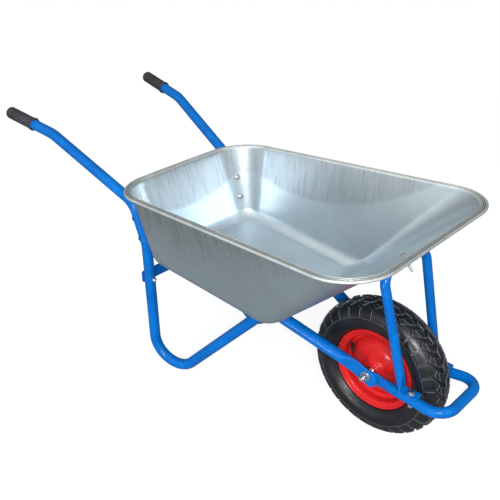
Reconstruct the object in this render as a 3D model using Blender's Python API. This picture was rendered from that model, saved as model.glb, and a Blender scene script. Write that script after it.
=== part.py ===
"""Wheelbarrow: deep-drawn tray, bent steel-tube frame and one pneumatic wheel.

Metres. +X points forward to the wheel, +Y to the barrow's left, +Z up, with the ground at Z = 0.
The origin is on the ground, half-way along the barrow and on its centre plane.
"""

import math
from collections import namedtuple

import bmesh
import bpy
from mathutils import Matrix, Vector

# ---------------------------------------------------------------- driving dimensions

GAP = 0.0003  # clearance kept between pieces that touch
LEFT, RIGHT = 1, -1
SIDE_NAMES = {LEFT: "left", RIGHT: "right"}

# Wheel: a 4.00-8 tyre on a pressed two-part rim
TYRE_RADIUS = 0.195
TYRE_HALF_WIDTH = 0.050
AXLE = Vector((0.4715, 0.0, TYRE_RADIUS))
BEAD_RADIUS = 0.1022
BEAD_INNER_Y = 0.0150
LUG_PITCHES = 14
LUG_DEPTH = 0.006
AIR_TUBE_CENTRE = 0.148
AIR_TUBE_RADIUS = 0.028
AIR_TUBE_WALL = 0.0025
RIM_SHEET = 0.002
RIM_SIDES = 24
DRUM_RADIUS = 0.0990
VALVE_ANGLE = math.radians(-156)
VALVE_RADIUS = 0.004
VALVE_Y = 0.0103
VALVE_TURN_RADIUS = 0.0905  # the stem turns outwards this far from the axle
VALVE_BEND = 0.008
VALVE_END = (0.0795, 0.0255)  # distances of the stem's end from the axle and the middle plane
CAP_LENGTH = 0.009
HUB_RADIUS = 0.018
HUB_HALF_LENGTH = 0.0475
BEARING_RADIUS = 0.016
BEARING_WIDTH = 0.010
AXLE_RADIUS = 0.006
AXLE_HALF_LENGTH = 0.091
AXLE_HOLE = AXLE_RADIUS + GAP
SPACER_RADIUS = 0.013
AXLE_WASHER_RADIUS = 0.014
AXLE_WASHER_THICKNESS = 0.002
AXLE_NUT_CORNER = 0.0108
AXLE_NUT_HEIGHT = 0.010

# Frame tubes
HANDLE_TUBE = 0.032
LEG_TUBE = 0.033
HOOP_TUBE = 0.028
BRACE_TUBE = 0.0245
TUBE_WALL = 0.0016
SQUASHED = 0.004  # thickness of a tube end that is pressed flat
TUBE_SIDES = 12
ARC_STEP = math.radians(17)

# Frame layout, in the centre planes of the tubes (X, half spacing, Z)
GRIP_END = Vector((-0.7199, 0.274, 0.762))
HANDLE_BEND = Vector((-0.5352, 0.252, 0.719))
FOOT_CORNER = Vector((-0.2503, 0.189, -0.098))
FOOT_BEND = 0.0797
KNEE = Vector((0.1877, 0.1175, 0.3170))
KNEE_BEND = 0.055
JOINT_HEIGHT = 0.3225
JOINT_INSERT = 0.055
SIDE_PLATE_Y = 0.0672
HOOP_PLATE_Y = 0.0625
HOOP_FRONT_HALF_WIDTH = 0.0945
HOOP_FRONT_X = 0.7139
HOOP_BEND = 0.045
HOOP_PLATE_LENGTH = 0.034  # flat part ahead of the axle
BRACE_TOP_HALF_WIDTH = 0.0945
BRACE_FOOT_X = 0.590
BRACE_BEND = 0.035

# Tray: each outline is a rounded rectangle that tapers from front to rear
SHEET = 0.0010
RIM_HEIGHT = 0.608
RIM_WIDTH = 0.018
RIM_LIP = 0.012
FLOOR_REAR_HEIGHT = 0.384
FLOOR_FRONT_HEIGHT = 0.320
FLOOR_FILLET = 0.14  # share of the wall height that the floor's fillet takes up
REAR_WALL_ANGLE = math.radians(28)  # where the handle tubes lie, round the rear corners

# Cross bar and fasteners
BAR_HEIGHT = 0.038
BAR_THICKNESS = 0.004
BAR_HALF_LENGTH = 0.211
BAR_CENTRE_HEIGHT = 0.312
Thread = namedtuple("Thread", "radius nut_corner nut_height")
M8 = Thread(0.004, 0.0075, 0.0065)
M6 = Thread(0.003, 0.0058, 0.0050)
HEAD_HEIGHT = 0.0065
FLANGE_RADIUS = 0.0100
FLANGE_HEIGHT = 0.0015
DOME_RADIUS = 0.0080
DOME_HEIGHT = 0.0032
SPARE_THREAD = 0.004  # length of thread past a nut
FRONT_SPARE_THREAD = 0.017
WALL_WASHER_RADIUS = 0.0100
WALL_WASHER_THICKNESS = 0.0016
WALL_WASHER_LIFT = 0.0012  # keeps a flat washer clear of the curved rear corner
HOLE_CLEARANCE = 0.0004
FASTENER_SIDES = 12

# Grips
GRIP_LENGTH = 0.112
GRIP_RADIUS = 0.0185
GRIP_END_WALL = 0.004

PAINTS = {
    "blue_paint": ((0.0, 0.17, 0.74), 0.0, 0.32),
    "red_paint": ((0.68, 0.02, 0.02), 0.0, 0.30),
    "galvanised": ((0.46, 0.50, 0.53), 1.0, 0.38),
    "zinc": ((0.66, 0.67, 0.69), 1.0, 0.30),
    "tyre_rubber": ((0.018, 0.020, 0.024), 0.0, 0.62),
    "butyl": ((0.03, 0.03, 0.03), 0.0, 0.70),
    "grip_plastic": ((0.022, 0.022, 0.026), 0.0, 0.50),
}

Outline = namedtuple("Outline", "rear front half_rear half_front corner_rear corner_front")
Stop = namedtuple("Stop", "point bend across deep")

RIM_OUTLINE = Outline(-0.2740, 0.6290, 0.2790, 0.3200, 0.130, 0.130)
WALL_TOP = Outline(
    RIM_OUTLINE.rear + RIM_WIDTH + 0.004,
    RIM_OUTLINE.front - RIM_WIDTH,
    RIM_OUTLINE.half_rear - RIM_WIDTH,
    RIM_OUTLINE.half_front - RIM_WIDTH,
    RIM_OUTLINE.corner_rear - RIM_WIDTH,
    RIM_OUTLINE.corner_front - RIM_WIDTH,
)
FLOOR_CORNER = Outline(-0.196, 0.252, 0.215, 0.208, 0.050, 0.030)


# ---------------------------------------------------------------- mesh tools


def clear_scene():
    for old in list(bpy.data.objects):
        bpy.data.objects.remove(old)


def paint(name):
    """The Principled material of this name, made when it is first asked for."""
    found = bpy.data.materials.get(name)
    if found:
        return found
    colour, metallic, roughness = PAINTS[name]
    made = bpy.data.materials.new(name)
    made.use_nodes = True
    shader = made.node_tree.nodes["Principled BSDF"]
    shader.inputs["Base Color"].default_value = (*colour, 1.0)
    shader.inputs["Metallic"].default_value = metallic
    shader.inputs["Roughness"].default_value = roughness
    return made


def add_object(name, bm, material):
    """Link a bmesh as a named object, shaded smooth except across sharp edges."""
    mesh = bpy.data.meshes.new(name)
    bm.to_mesh(mesh)
    bm.free()
    mesh.materials.append(paint(material))
    mesh.shade_smooth()
    mesh.set_sharp_from_angle(angle=math.radians(38))
    made = bpy.data.objects.new(name, mesh)
    bpy.context.scene.collection.objects.link(made)
    return made


def place(piece, point, direction):
    """Put a piece's origin at a point and turn its local +Z to a direction."""
    piece.location = point
    piece.rotation_euler = Vector(direction).to_track_quat("Z", "Y").to_euler()


def mirrored(point, side):
    return Vector((point[0], side * point[1], point[2]))


def add_ring(bm, points):
    return [bm.verts.new(point) for point in points]


def bridge(bm, first, second):
    """Join two rings with quads that face outwards when the rings run forwards."""
    count = len(first)
    for k in range(count):
        following = (k + 1) % count
        bm.faces.new((first[k], first[following], second[following], second[k]))


def turned_mesh(profile, sides, closed=False):
    """Turn (radius, height, is_hexagon) points about Z. An open profile gets a cap at each end."""
    bm = bmesh.new()
    rings = []
    for radius, height, is_hexagon in profile:
        points = []
        for k in range(sides):
            angle = 2 * math.pi * k / sides
            reach = radius * math.cos(math.pi / 6) if is_hexagon and k % 2 else radius
            points.append((reach * math.cos(angle), reach * math.sin(angle), height))
        rings.append(add_ring(bm, points))
    for first, second in zip(rings, rings[1:]):
        bridge(bm, first, second)
    if closed:
        bridge(bm, rings[-1], rings[0])
    else:
        bm.faces.new(reversed(rings[0]))
        bm.faces.new(rings[-1])
    return bm


def round_profile(points):
    return [(radius, height, False) for radius, height in points]


def section(across, deep):
    """Corner points of a tube section: a circle, or the slot shape it is pressed into."""
    small = min(across, deep) / 2
    points = []
    for k in range(TUBE_SIDES):
        angle = 2 * math.pi * (k + 0.5) / TUBE_SIDES
        x, y = math.cos(angle), math.sin(angle)
        stretch_x = math.copysign(across / 2 - small, x)
        stretch_y = math.copysign(deep / 2 - small, y)
        points.append((stretch_x + small * x, stretch_y + small * y))
    return points


def stations(stops):
    """Centre points and tangents along a bent tube, with an arc at each stop that has a bend."""
    found = []
    last = len(stops) - 1
    for i, stop in enumerate(stops):
        before = (stop.point - stops[max(i - 1, 0)].point).normalized()
        after = (stops[min(i + 1, last)].point - stop.point).normalized()
        if i == 0:
            before = after
        if i == last:
            after = before
        if stop.bend == 0:
            found.append((stop.point, (before + after).normalized(), stop))
            continue
        turn = before.angle(after)
        inward = (after - before * math.cos(turn)) / math.sin(turn)
        start = stop.point - before * stop.bend * math.tan(turn / 2)
        centre = start + inward * stop.bend
        steps = max(2, math.ceil(turn / ARC_STEP))
        for k in range(steps + 1):
            angle = turn * k / steps
            spoke = before * math.sin(angle) - inward * math.cos(angle)
            tangent = before * math.cos(angle) + inward * math.sin(angle)
            found.append((centre + spoke * stop.bend, tangent, stop))
    return found


def tube_mesh(stops, side, open_start=False, open_end=False):
    """Sweep a tube along its stops. Its bore stops where a pressed-flat end closes it."""
    bm = bmesh.new()
    outer, bore = [], []
    across_axis = Vector(side)
    for point, tangent, stop in stations(stops):
        across_axis = (across_axis - tangent * across_axis.dot(tangent)).normalized()
        deep_axis = tangent.cross(across_axis)

        def ring(shrink):
            shape = section(stop.across - shrink, stop.deep - shrink)
            return add_ring(bm, [point + across_axis * x + deep_axis * y for x, y in shape])

        outer.append(ring(0))
        if min(stop.across, stop.deep) > 3 * TUBE_WALL:
            bore.append(ring(2 * TUBE_WALL))
    for first, second in zip(outer, outer[1:]):
        bridge(bm, first, second)
    for first, second in zip(bore, bore[1:]):
        bridge(bm, second, first)
    if open_start:
        bridge(bm, bore[0], outer[0])
    else:
        bm.faces.new(reversed(outer[0]))
        bm.faces.new(bore[0])
    if open_end:
        bridge(bm, outer[-1], bore[-1])
    else:
        bm.faces.new(outer[-1])
        bm.faces.new(reversed(bore[-1]))
    return bm


def drill(piece, holes):
    """Cut round holes, given as (point, direction, radius, length) with the point at mid-length."""
    bm = bmesh.new()
    for point, direction, radius, length in holes:
        turn = Vector(direction).to_track_quat("Z", "Y").to_matrix().to_4x4()
        bmesh.ops.create_cone(
            bm,
            cap_ends=True,
            segments=FASTENER_SIDES,
            radius1=radius,
            radius2=radius,
            depth=length,
            matrix=Matrix.Translation(point) @ turn,
        )
    cutter = add_object(piece.name + "_holes", bm, "zinc")
    cutter.hide_render = True
    cutter.display_type = "WIRE"
    cut = piece.modifiers.new("Holes", "BOOLEAN")
    cut.operation = "DIFFERENCE"
    cut.solver = "EXACT"
    cut.object = cutter


# ---------------------------------------------------------------- tray geometry


def blend_outline(first, second, share):
    return Outline(*(a + (b - a) * share for a, b in zip(first, second)))


def outline_points(outline, corner_steps=5):
    """Plan points of a tapered rounded rectangle, anticlockwise from the rear right corner."""
    corners = (
        (outline.rear, RIGHT, outline.half_rear, outline.corner_rear, 180),
        (outline.front, RIGHT, outline.half_front, outline.corner_front, 270),
        (outline.front, LEFT, outline.half_front, outline.corner_front, 0),
        (outline.rear, LEFT, outline.half_rear, outline.corner_rear, 90),
    )
    points = []
    for x, side, half_width, radius, start in corners:
        inward = radius if x == outline.rear else -radius
        centre_x = x + inward
        centre_y = side * (half_width - radius)
        for k in range(corner_steps + 1):
            angle = math.radians(start + 90 * k / corner_steps)
            points.append((centre_x + radius * math.cos(angle), centre_y + radius * math.sin(angle)))
    return points


def wall_heights(outline, points, share):
    """Height of each wall point: level at the rim (share 1), along the sloping floor at share 0."""
    heights = []
    for x, _ in points:
        along = (x - outline.rear) / (outline.front - outline.rear)
        floor = FLOOR_REAR_HEIGHT + (FLOOR_FRONT_HEIGHT - FLOOR_REAR_HEIGHT) * along
        heights.append(floor + (RIM_HEIGHT - floor) * share)
    return heights


def wall_ring(share):
    """Points on the tray's inner wall surface at this share of its height."""
    outline = blend_outline(FLOOR_CORNER, WALL_TOP, share)
    points = outline_points(outline)
    heights = wall_heights(outline, points, share)
    return [Vector((x, y, z)) for (x, y), z in zip(points, heights)]


def floor_ring(inset):
    """Points on the floor, pulled in from the corner between floor and wall."""
    corner = FLOOR_CORNER
    outline = Outline(
        corner.rear + inset,
        corner.front - inset,
        corner.half_rear - inset,
        corner.half_front - inset,
        corner.corner_rear - inset / 3,
        corner.corner_front - inset / 3,
    )
    slope = (FLOOR_FRONT_HEIGHT - FLOOR_REAR_HEIGHT) / (corner.front - corner.rear)
    points = outline_points(outline)
    return [Vector((x, y, FLOOR_REAR_HEIGHT + slope * (x - corner.rear))) for x, y in points]


def rim_ring(inset, drop):
    """Points of the rim's flange, inset from its outer edge and lowered from its top."""
    outline = Outline(
        RIM_OUTLINE.rear + inset,
        RIM_OUTLINE.front - inset,
        RIM_OUTLINE.half_rear - inset,
        RIM_OUTLINE.half_front - inset,
        RIM_OUTLINE.corner_rear - inset,
        RIM_OUTLINE.corner_front - inset,
    )
    return [Vector((x, y, RIM_HEIGHT - drop)) for x, y in outline_points(outline)]


def rear_corner_wall(share):
    """Point and inward normal on the rear left corner's wall, where the handle tube lies."""

    def on_wall(at_share, angle):
        outline = blend_outline(FLOOR_CORNER, WALL_TOP, at_share)
        radius = outline.corner_rear
        x = outline.rear + radius * (1 - math.cos(angle))
        y = outline.half_rear - radius * (1 - math.sin(angle))
        z = FLOOR_REAR_HEIGHT + (RIM_HEIGHT - FLOOR_REAR_HEIGHT) * at_share
        return Vector((x, y, z))

    small = 0.01
    point = on_wall(share, REAR_WALL_ANGLE)
    up = on_wall(share + small, REAR_WALL_ANGLE) - point
    along = on_wall(share, REAR_WALL_ANGLE + small) - point
    return point, along.cross(up).normalized()


def handle_axis_at(share):
    """A point of the handle tube's centre line, lying against the outside of the rear corner."""
    point, inward = rear_corner_wall(share)
    return point - inward * (SHEET + GAP + HANDLE_TUBE / 2)


def front_wall():
    """Foot, upward direction and outward normal of the front wall's inner face at the centre."""
    foot = Vector((FLOOR_CORNER.front, 0, FLOOR_FRONT_HEIGHT))
    top = Vector((WALL_TOP.front, 0, RIM_HEIGHT))
    up = (top - foot).normalized()
    return foot, up, Vector((up.z, 0, -up.x))


REAR_BEND_SHARE = 0.775
LEG_BEND_SHARE = 0.208
UPPER_BOLT_SHARE = 0.575
LOWER_BOLT_SHARE = 0.300
CENTRE_BOLT_HEIGHT = 0.5374

REAR_BEND = handle_axis_at(REAR_BEND_SHARE)
LEG_BEND = handle_axis_at(LEG_BEND_SHARE)
LEG_DOWN = (FOOT_CORNER - LEG_BEND).normalized()


def leg_point(height):
    """A point on the left leg's straight centre line at this height."""
    return LEG_BEND + LEG_DOWN * ((height - LEG_BEND.z) / LEG_DOWN.z)


def centre_bolt_seat():
    """Where the centre bolt's head meets the front wall's inner face."""
    foot, up, _ = front_wall()
    return foot + up * ((CENTRE_BOLT_HEIGHT - foot.z) / up.z)


def brace_bar_centre():
    """The middle of the brace's top bar, which lies against the outside of the front wall."""
    _, _, outward = front_wall()
    return centre_bolt_seat() + outward * (SHEET + GAP + BRACE_TUBE / 2)


# ---------------------------------------------------------------- tray


def tray_rings():
    """Rings of the tray's inner surface, from the floor's middle to the curled rim edge."""
    fillet_wall = wall_ring(FLOOR_FILLET)
    fillet_floor = floor_ring(0.026)
    corner = wall_ring(0)
    rings = [floor_ring(0.040), floor_ring(0.032)]
    for k in range(4):
        t = k / 3
        rings.append(
            [
                low * (1 - t) ** 2 + mid * 2 * t * (1 - t) + high * t**2
                for low, mid, high in zip(fillet_floor, corner, fillet_wall)
            ]
        )
    for point in rings[0]:
        point.z += SHEET
    rings.append(wall_ring(0.985))
    rings.append(rim_ring(RIM_WIDTH - 0.003, 0.0))
    rings.append(rim_ring(0.003, 0.0))
    rings.append(rim_ring(0.0, 0.003))
    rings.append(rim_ring(0.0, RIM_LIP - 0.002))
    rings.append(rim_ring(0.003, RIM_LIP))
    return rings


def rear_bolt_shares():
    return (("upper", UPPER_BOLT_SHARE), ("lower", LOWER_BOLT_SHARE))


def bolt_hole(point, direction, length, thread):
    return (point, direction, thread.radius + HOLE_CLEARANCE, length)


def build_tray():
    bm = bmesh.new()
    rings = [add_ring(bm, points) for points in tray_rings()]
    for first, second in zip(rings, rings[1:]):
        bridge(bm, second, first)
    bm.faces.new(rings[0])
    tray = add_object("tray", bm, "galvanised")
    thicken = tray.modifiers.new("Sheet", "SOLIDIFY")
    thicken.thickness = SHEET
    thicken.offset = -1
    thicken.use_even_offset = True
    hole_length = 0.02
    _, _, outward = front_wall()
    holes = [bolt_hole(centre_bolt_seat(), outward, hole_length, M6)]
    for _, share in rear_bolt_shares():
        point, inward = rear_corner_wall(share)
        for side in (LEFT, RIGHT):
            holes.append(bolt_hole(mirrored(point, side), mirrored(inward, side), hole_length, M6))
    drill(tray, holes)


# ---------------------------------------------------------------- frame tubes


def build_handle_tube(side):
    seam = leg_point(JOINT_HEIGHT + GAP)
    insert_end = leg_point(JOINT_HEIGHT - JOINT_INSERT)
    insert = LEG_TUBE - 2 * TUBE_WALL - 3 * GAP
    stops = [
        Stop(GRIP_END, 0, HANDLE_TUBE, HANDLE_TUBE),
        Stop(HANDLE_BEND, 0.10, HANDLE_TUBE, HANDLE_TUBE),
        Stop(REAR_BEND, 0.07, HANDLE_TUBE, HANDLE_TUBE),
        Stop(LEG_BEND, 0.06, HANDLE_TUBE, HANDLE_TUBE),
        Stop(seam - LEG_DOWN * 0.001, 0, HANDLE_TUBE, HANDLE_TUBE),
        Stop(seam, 0, insert, insert),
        Stop(insert_end, 0, insert, insert),
    ]
    stops = [stop._replace(point=mirrored(stop.point, side)) for stop in stops]
    bm = tube_mesh(stops, (0, 1, 0), open_start=True, open_end=True)
    tube = add_object(f"handle_tube_{SIDE_NAMES[side]}", bm, "blue_paint")
    holes = []
    for _, share in rear_bolt_shares():
        _, inward = rear_corner_wall(share)
        axis_point = mirrored(handle_axis_at(share), side)
        holes.append(bolt_hole(axis_point, mirrored(inward, side), 1.5 * HANDLE_TUBE, M6))
    joint = mirrored(leg_point(BAR_CENTRE_HEIGHT), side)
    holes.append(bolt_hole(joint, joint_axis(), LEG_TUBE, M8))
    drill(tube, holes)


def joint_axis():
    """Direction of the joint bolts: forward, square to the legs."""
    return Vector((-LEG_DOWN.z, 0, LEG_DOWN.x))


def build_side_tube(side):
    """One tube: pressed-flat axle end, rise to the tray's floor, ground bend and leg."""
    axle_end = Vector((AXLE.x, SIDE_PLATE_Y, AXLE.z))
    rise = Vector((KNEE.x - AXLE.x, 0, KNEE.z - AXLE.z)).normalized()
    squash_middle = axle_end + rise * 0.060 + Vector((0, 0.0030, 0))
    squash_start = axle_end + rise * 0.082 + Vector((0, 0.0065, 0))
    stops = [
        Stop(axle_end - rise * 0.033, 0, SQUASHED, 0.026),
        Stop(axle_end - rise * 0.021, 0, SQUASHED, 0.044),
        Stop(axle_end + rise * 0.036, 0, SQUASHED, 0.044),
        Stop(squash_middle, 0, 0.016, 0.040),
        Stop(squash_start, 0, LEG_TUBE, LEG_TUBE),
        Stop(KNEE, KNEE_BEND, LEG_TUBE, LEG_TUBE),
        Stop(FOOT_CORNER, FOOT_BEND, LEG_TUBE, LEG_TUBE),
        Stop(leg_point(JOINT_HEIGHT), 0, LEG_TUBE, LEG_TUBE),
    ]
    stops = [stop._replace(point=mirrored(stop.point, side)) for stop in stops]
    bm = tube_mesh(stops, (0, 1, 0), open_end=True)
    tube = add_object(f"side_tube_{SIDE_NAMES[side]}", bm, "blue_paint")
    holes = [
        (mirrored(axle_end, side), (0, 1, 0), AXLE_HOLE, 4 * SQUASHED),
        bolt_hole(mirrored(leg_point(BAR_CENTRE_HEIGHT), side), joint_axis(), 1.5 * LEG_TUBE, M8),
    ]
    drill(tube, holes)


def hoop_half_width(x):
    """Half spacing of the hoop's sides, which spread evenly from the plates to the front."""
    start = AXLE.x + HOOP_PLATE_LENGTH
    share = max(0, (x - start) / (HOOP_FRONT_X - start))
    return HOOP_PLATE_Y + (HOOP_FRONT_HALF_WIDTH - HOOP_PLATE_Y) * share


def build_nose_hoop():
    """Hoop round the front of the wheel, with both ends pressed flat on the axle."""

    def half(side):
        stops = []
        for ahead, bend, across, deep in (
            (-0.022, 0, 0.022, SQUASHED),
            (-0.012, 0, 0.036, SQUASHED),
            (HOOP_PLATE_LENGTH, 0, 0.036, SQUASHED),
            (HOOP_PLATE_LENGTH + 0.022, 0, 0.029, 0.014),
            (HOOP_PLATE_LENGTH + 0.050, 0, HOOP_TUBE, HOOP_TUBE),
            (HOOP_FRONT_X - AXLE.x, HOOP_BEND, HOOP_TUBE, HOOP_TUBE),
        ):
            x = AXLE.x + ahead
            stops.append(Stop(Vector((x, side * hoop_half_width(x), AXLE.z)), bend, across, deep))
        return stops

    stops = half(RIGHT) + list(reversed(half(LEFT)))
    hoop = add_object("nose_hoop", tube_mesh(stops, (0, 0, 1)), "blue_paint")
    holes = []
    for side in (LEFT, RIGHT):
        holes.append((Vector((AXLE.x, side * HOOP_PLATE_Y, AXLE.z)), (0, 1, 0), AXLE_HOLE, 0.012))
        holes.append(bolt_hole(foot_bolt_point(side), (0, 0, 1), 1.5 * HOOP_TUBE, M8))
    drill(hoop, holes)


def foot_bolt_point(side):
    """Centre of the hoop tube under a brace foot's bolt."""
    x = BRACE_FOOT_X + 0.024
    return Vector((x, side * hoop_half_width(x), AXLE.z))


def foot_plate_height():
    return AXLE.z + HOOP_TUBE / 2 + GAP + SQUASHED / 2


def build_front_brace():
    """Upside-down U from the hoop's sides up to the front wall, with feet pressed flat."""
    bar = brace_bar_centre()
    foot_z = foot_plate_height()

    def half(side):
        foot = Vector((BRACE_FOOT_X, foot_bolt_point(side).y, foot_z))
        top = Vector((bar.x, side * BRACE_TOP_HALF_WIDTH, bar.z))
        rise = (top - foot).normalized()
        return [
            Stop(foot + Vector((0.046, 0, 0)), 0, 0.026, SQUASHED),
            Stop(foot + Vector((0.040, 0, 0)), 0, 0.034, SQUASHED),
            Stop(foot, 0.007, 0.034, SQUASHED),
            Stop(foot + rise * 0.024, 0, 0.030, 0.013),
            Stop(foot + rise * 0.050, 0, BRACE_TUBE, BRACE_TUBE),
            Stop(top, BRACE_BEND, BRACE_TUBE, BRACE_TUBE),
        ]

    stops = half(RIGHT) + list(reversed(half(LEFT)))
    brace = add_object("front_brace", tube_mesh(stops, (0, 1, 0)), "blue_paint")
    _, _, outward = front_wall()
    holes = [bolt_hole(bar, outward, 1.5 * BRACE_TUBE, M6)]
    for side in (LEFT, RIGHT):
        point = foot_bolt_point(side)
        point.z = foot_z
        holes.append(bolt_hole(point, (0, 0, 1), 4 * SQUASHED, M8))
    drill(brace, holes)


def cross_bar_centre():
    back_off = LEG_TUBE / 2 + GAP + BAR_THICKNESS / 2
    centre = leg_point(BAR_CENTRE_HEIGHT) - joint_axis() * back_off
    centre.y = 0
    return centre


def build_cross_bar():
    """Flat bar across the backs of both legs."""
    bm = bmesh.new()
    bmesh.ops.create_cube(bm, size=1)
    size = Vector((BAR_HEIGHT, 2 * BAR_HALF_LENGTH, BAR_THICKNESS))
    bmesh.ops.scale(bm, vec=size, verts=bm.verts)
    corners = [edge for edge in bm.edges if abs(edge.verts[0].co.z - edge.verts[1].co.z) > 0.001]
    bmesh.ops.bevel(bm, geom=corners, offset=0.006, segments=2, affect="EDGES", profile=0.5)
    bar = add_object("cross_bar", bm, "blue_paint")
    bar.location = cross_bar_centre()
    bar.rotation_euler = (0, math.atan2(joint_axis().x, joint_axis().z), 0)
    holes = []
    for side in (LEFT, RIGHT):
        point = cross_bar_centre()
        point.y = side * leg_point(BAR_CENTRE_HEIGHT).y
        holes.append(bolt_hole(point, joint_axis(), 5 * BAR_THICKNESS, M8))
    drill(bar, holes)


# ---------------------------------------------------------------- grips


def build_grip(side):
    """Blind sleeve over the handle's end, with a rounded closed end and a collar."""
    bore = HANDLE_TUBE / 2 + GAP
    barrel = GRIP_RADIUS
    profile = [
        (barrel - 0.004, -GRIP_END_WALL),
        (barrel - 0.001, -GRIP_END_WALL + 0.001),
        (barrel, 0.002),
        (barrel, GRIP_LENGTH - 0.012),
        (barrel + 0.002, GRIP_LENGTH - 0.010),
        (barrel + 0.002, GRIP_LENGTH - GRIP_END_WALL),
        (bore, GRIP_LENGTH - GRIP_END_WALL),
        (bore, -GAP),
    ]
    bm = turned_mesh(round_profile(profile), 16)
    grip = add_object(f"grip_{SIDE_NAMES[side]}", bm, "grip_plastic")
    start = mirrored(GRIP_END, side)
    place(grip, start, mirrored(HANDLE_BEND, side) - start)


# ---------------------------------------------------------------- wheel


def wheel_centre():
    """Empty at the axle that carries every turning piece."""
    empty = bpy.data.objects.new("wheel_centre", None)
    empty.location = AXLE
    empty.rotation_euler = (-math.pi / 2, 0, 0)
    bpy.context.scene.collection.objects.link(empty)
    return empty


def tyre_profile():
    """(radius, width position, is tread shoulder) round the tyre's section, right bead to left bead."""
    crown = TYRE_RADIUS
    widest = TYRE_HALF_WIDTH
    outer = [
        (BEAD_RADIUS, 0.0240, False),
        (0.1168, 0.0268, False),
        (0.1260, 0.0400, False),
        (0.1500, widest, False),
        (0.1720, widest - 0.002, True),
        (crown - 0.009, 0.0360, True),
        (crown, 0.0130, False),
    ]
    inner = [
        (0.1800, 0.0280, False),
        (0.1500, widest - 0.007, False),
        (BEAD_RADIUS, BEAD_INNER_Y, False),
    ]
    rising = [(radius, -y, shoulder) for radius, y, shoulder in outer]
    falling = [(radius, y, shoulder) for radius, y, shoulder in reversed(outer)]
    inside = [(radius, y, shoulder) for radius, y, shoulder in reversed(inner)]
    inside += [(radius, -y, shoulder) for radius, y, shoulder in inner]
    return rising, falling, inside


def build_tyre(parent):
    """Open casing with shoulder lugs, staggered from one side to the other."""
    rising, falling, inside = tyre_profile()
    profile = rising + falling + inside
    bm = bmesh.new()
    rings = []
    pitch = 2 * math.pi / LUG_PITCHES
    edge = 0.04
    for k in range(LUG_PITCHES):
        for share, right_lug in ((0.0, True), (0.5 - edge, True), (0.5, False), (1 - edge, False)):
            angle = pitch * (k + share) + math.pi / 2
            points = []
            for radius, y, shoulder in profile:
                raised = right_lug == (y < 0)
                reach = radius - (LUG_DEPTH if shoulder and not raised else 0)
                points.append((reach * math.cos(angle), reach * math.sin(angle), y))
            rings.append(add_ring(bm, points))
    for first, second in zip(rings, rings[1:] + rings[:1]):
        bridge(bm, first, second)
    bmesh.ops.recalc_face_normals(bm, faces=bm.faces)
    tyre = add_object("tyre", bm, "tyre_rubber")
    tyre.parent = parent


def ring_section(centre, radius, sides=8):
    """Round section of a ring, as (radius, height) points."""
    points = []
    for k in range(sides):
        angle = 2 * math.pi * (k + 0.5) / sides
        points.append((centre + radius * math.cos(angle), radius * math.sin(angle)))
    return points


def build_inner_tube(parent):
    """Hollow air tube inside the casing, open only where the valve stem enters it."""
    outside = turned_mesh(round_profile(ring_section(AIR_TUBE_CENTRE, AIR_TUBE_RADIUS)), 20, closed=True)
    hollow = ring_section(AIR_TUBE_CENTRE, AIR_TUBE_RADIUS - AIR_TUBE_WALL)
    inside = turned_mesh(round_profile(hollow[::-1]), 20, closed=True)
    both = bpy.data.meshes.new("inner_tube_hollow")
    inside.to_mesh(both)
    inside.free()
    outside.from_mesh(both)
    bpy.data.meshes.remove(both)
    tube = add_object("inner_tube", outside, "butyl")
    tube.parent = parent
    drill_valve_hole(tube, AIR_TUBE_CENTRE - AIR_TUBE_RADIUS)


def rim_profile():
    """Middle line of one pressed half: lip, bead seat, joint ring, dome and hub steps."""
    return [
        (0.1150, 0.0325),
        (0.1030, 0.0290),
        (DRUM_RADIUS + 0.0006, 0.0250),
        (DRUM_RADIUS, 0.0060),
        (0.0930, 0.0014),
        (0.0870, 0.0014),
        (0.0820, 0.0110),
        (0.0720, 0.0215),
        (0.0550, 0.0290),
        (0.0350, 0.0320),
        (0.0290, 0.0390),
        (HUB_RADIUS + GAP + RIM_SHEET / 2, 0.0460),
    ]


def thick_profile(line, thickness):
    """Closed outline of a sheet whose middle line is given."""
    ahead, behind = [], []
    for i, (radius, height) in enumerate(line):
        r0, h0 = line[max(i - 1, 0)]
        r1, h1 = line[min(i + 1, len(line) - 1)]
        length = math.hypot(r1 - r0, h1 - h0)
        normal_r, normal_h = (h1 - h0) / length, -(r1 - r0) / length
        ahead.append((radius + normal_r * thickness / 2, height + normal_h * thickness / 2))
        behind.append((radius - normal_r * thickness / 2, height - normal_h * thickness / 2))
    return ahead + behind[::-1]


def build_rim_half(parent, side):
    loop = [(radius, side * height) for radius, height in thick_profile(rim_profile(), RIM_SHEET)]
    bm = turned_mesh(round_profile(loop), RIM_SIDES, closed=True)
    bmesh.ops.recalc_face_normals(bm, faces=bm.faces)
    rim = add_object(f"rim_{SIDE_NAMES[side]}", bm, "red_paint")
    rim.parent = parent
    if side == RIGHT:
        drill_valve_hole(rim, DRUM_RADIUS)


def ring_profile(outer, bore, low, high):
    return round_profile([(outer, low), (outer, high), (bore, high), (bore, low)])


def build_hub(parent):
    bore = BEARING_RADIUS + GAP
    profile = ring_profile(HUB_RADIUS, bore, -HUB_HALF_LENGTH, HUB_HALF_LENGTH)
    hub = add_object("hub_tube", turned_mesh(profile, 20, closed=True), "red_paint")
    hub.parent = parent
    for side in (LEFT, RIGHT):
        ends = sorted((side * (HUB_HALF_LENGTH - BEARING_WIDTH), side * HUB_HALF_LENGTH))
        profile = ring_profile(BEARING_RADIUS, AXLE_RADIUS + GAP, *ends)
        bearing = turned_mesh(profile, 16, closed=True)
        piece = add_object(f"bearing_{SIDE_NAMES[side]}", bearing, "zinc")
        piece.parent = parent


def valve_point(radius, y):
    """A point on the valve's line, in the wheel centre's own axes."""
    return Vector((radius * math.cos(VALVE_ANGLE), radius * math.sin(VALVE_ANGLE), -y))


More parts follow.
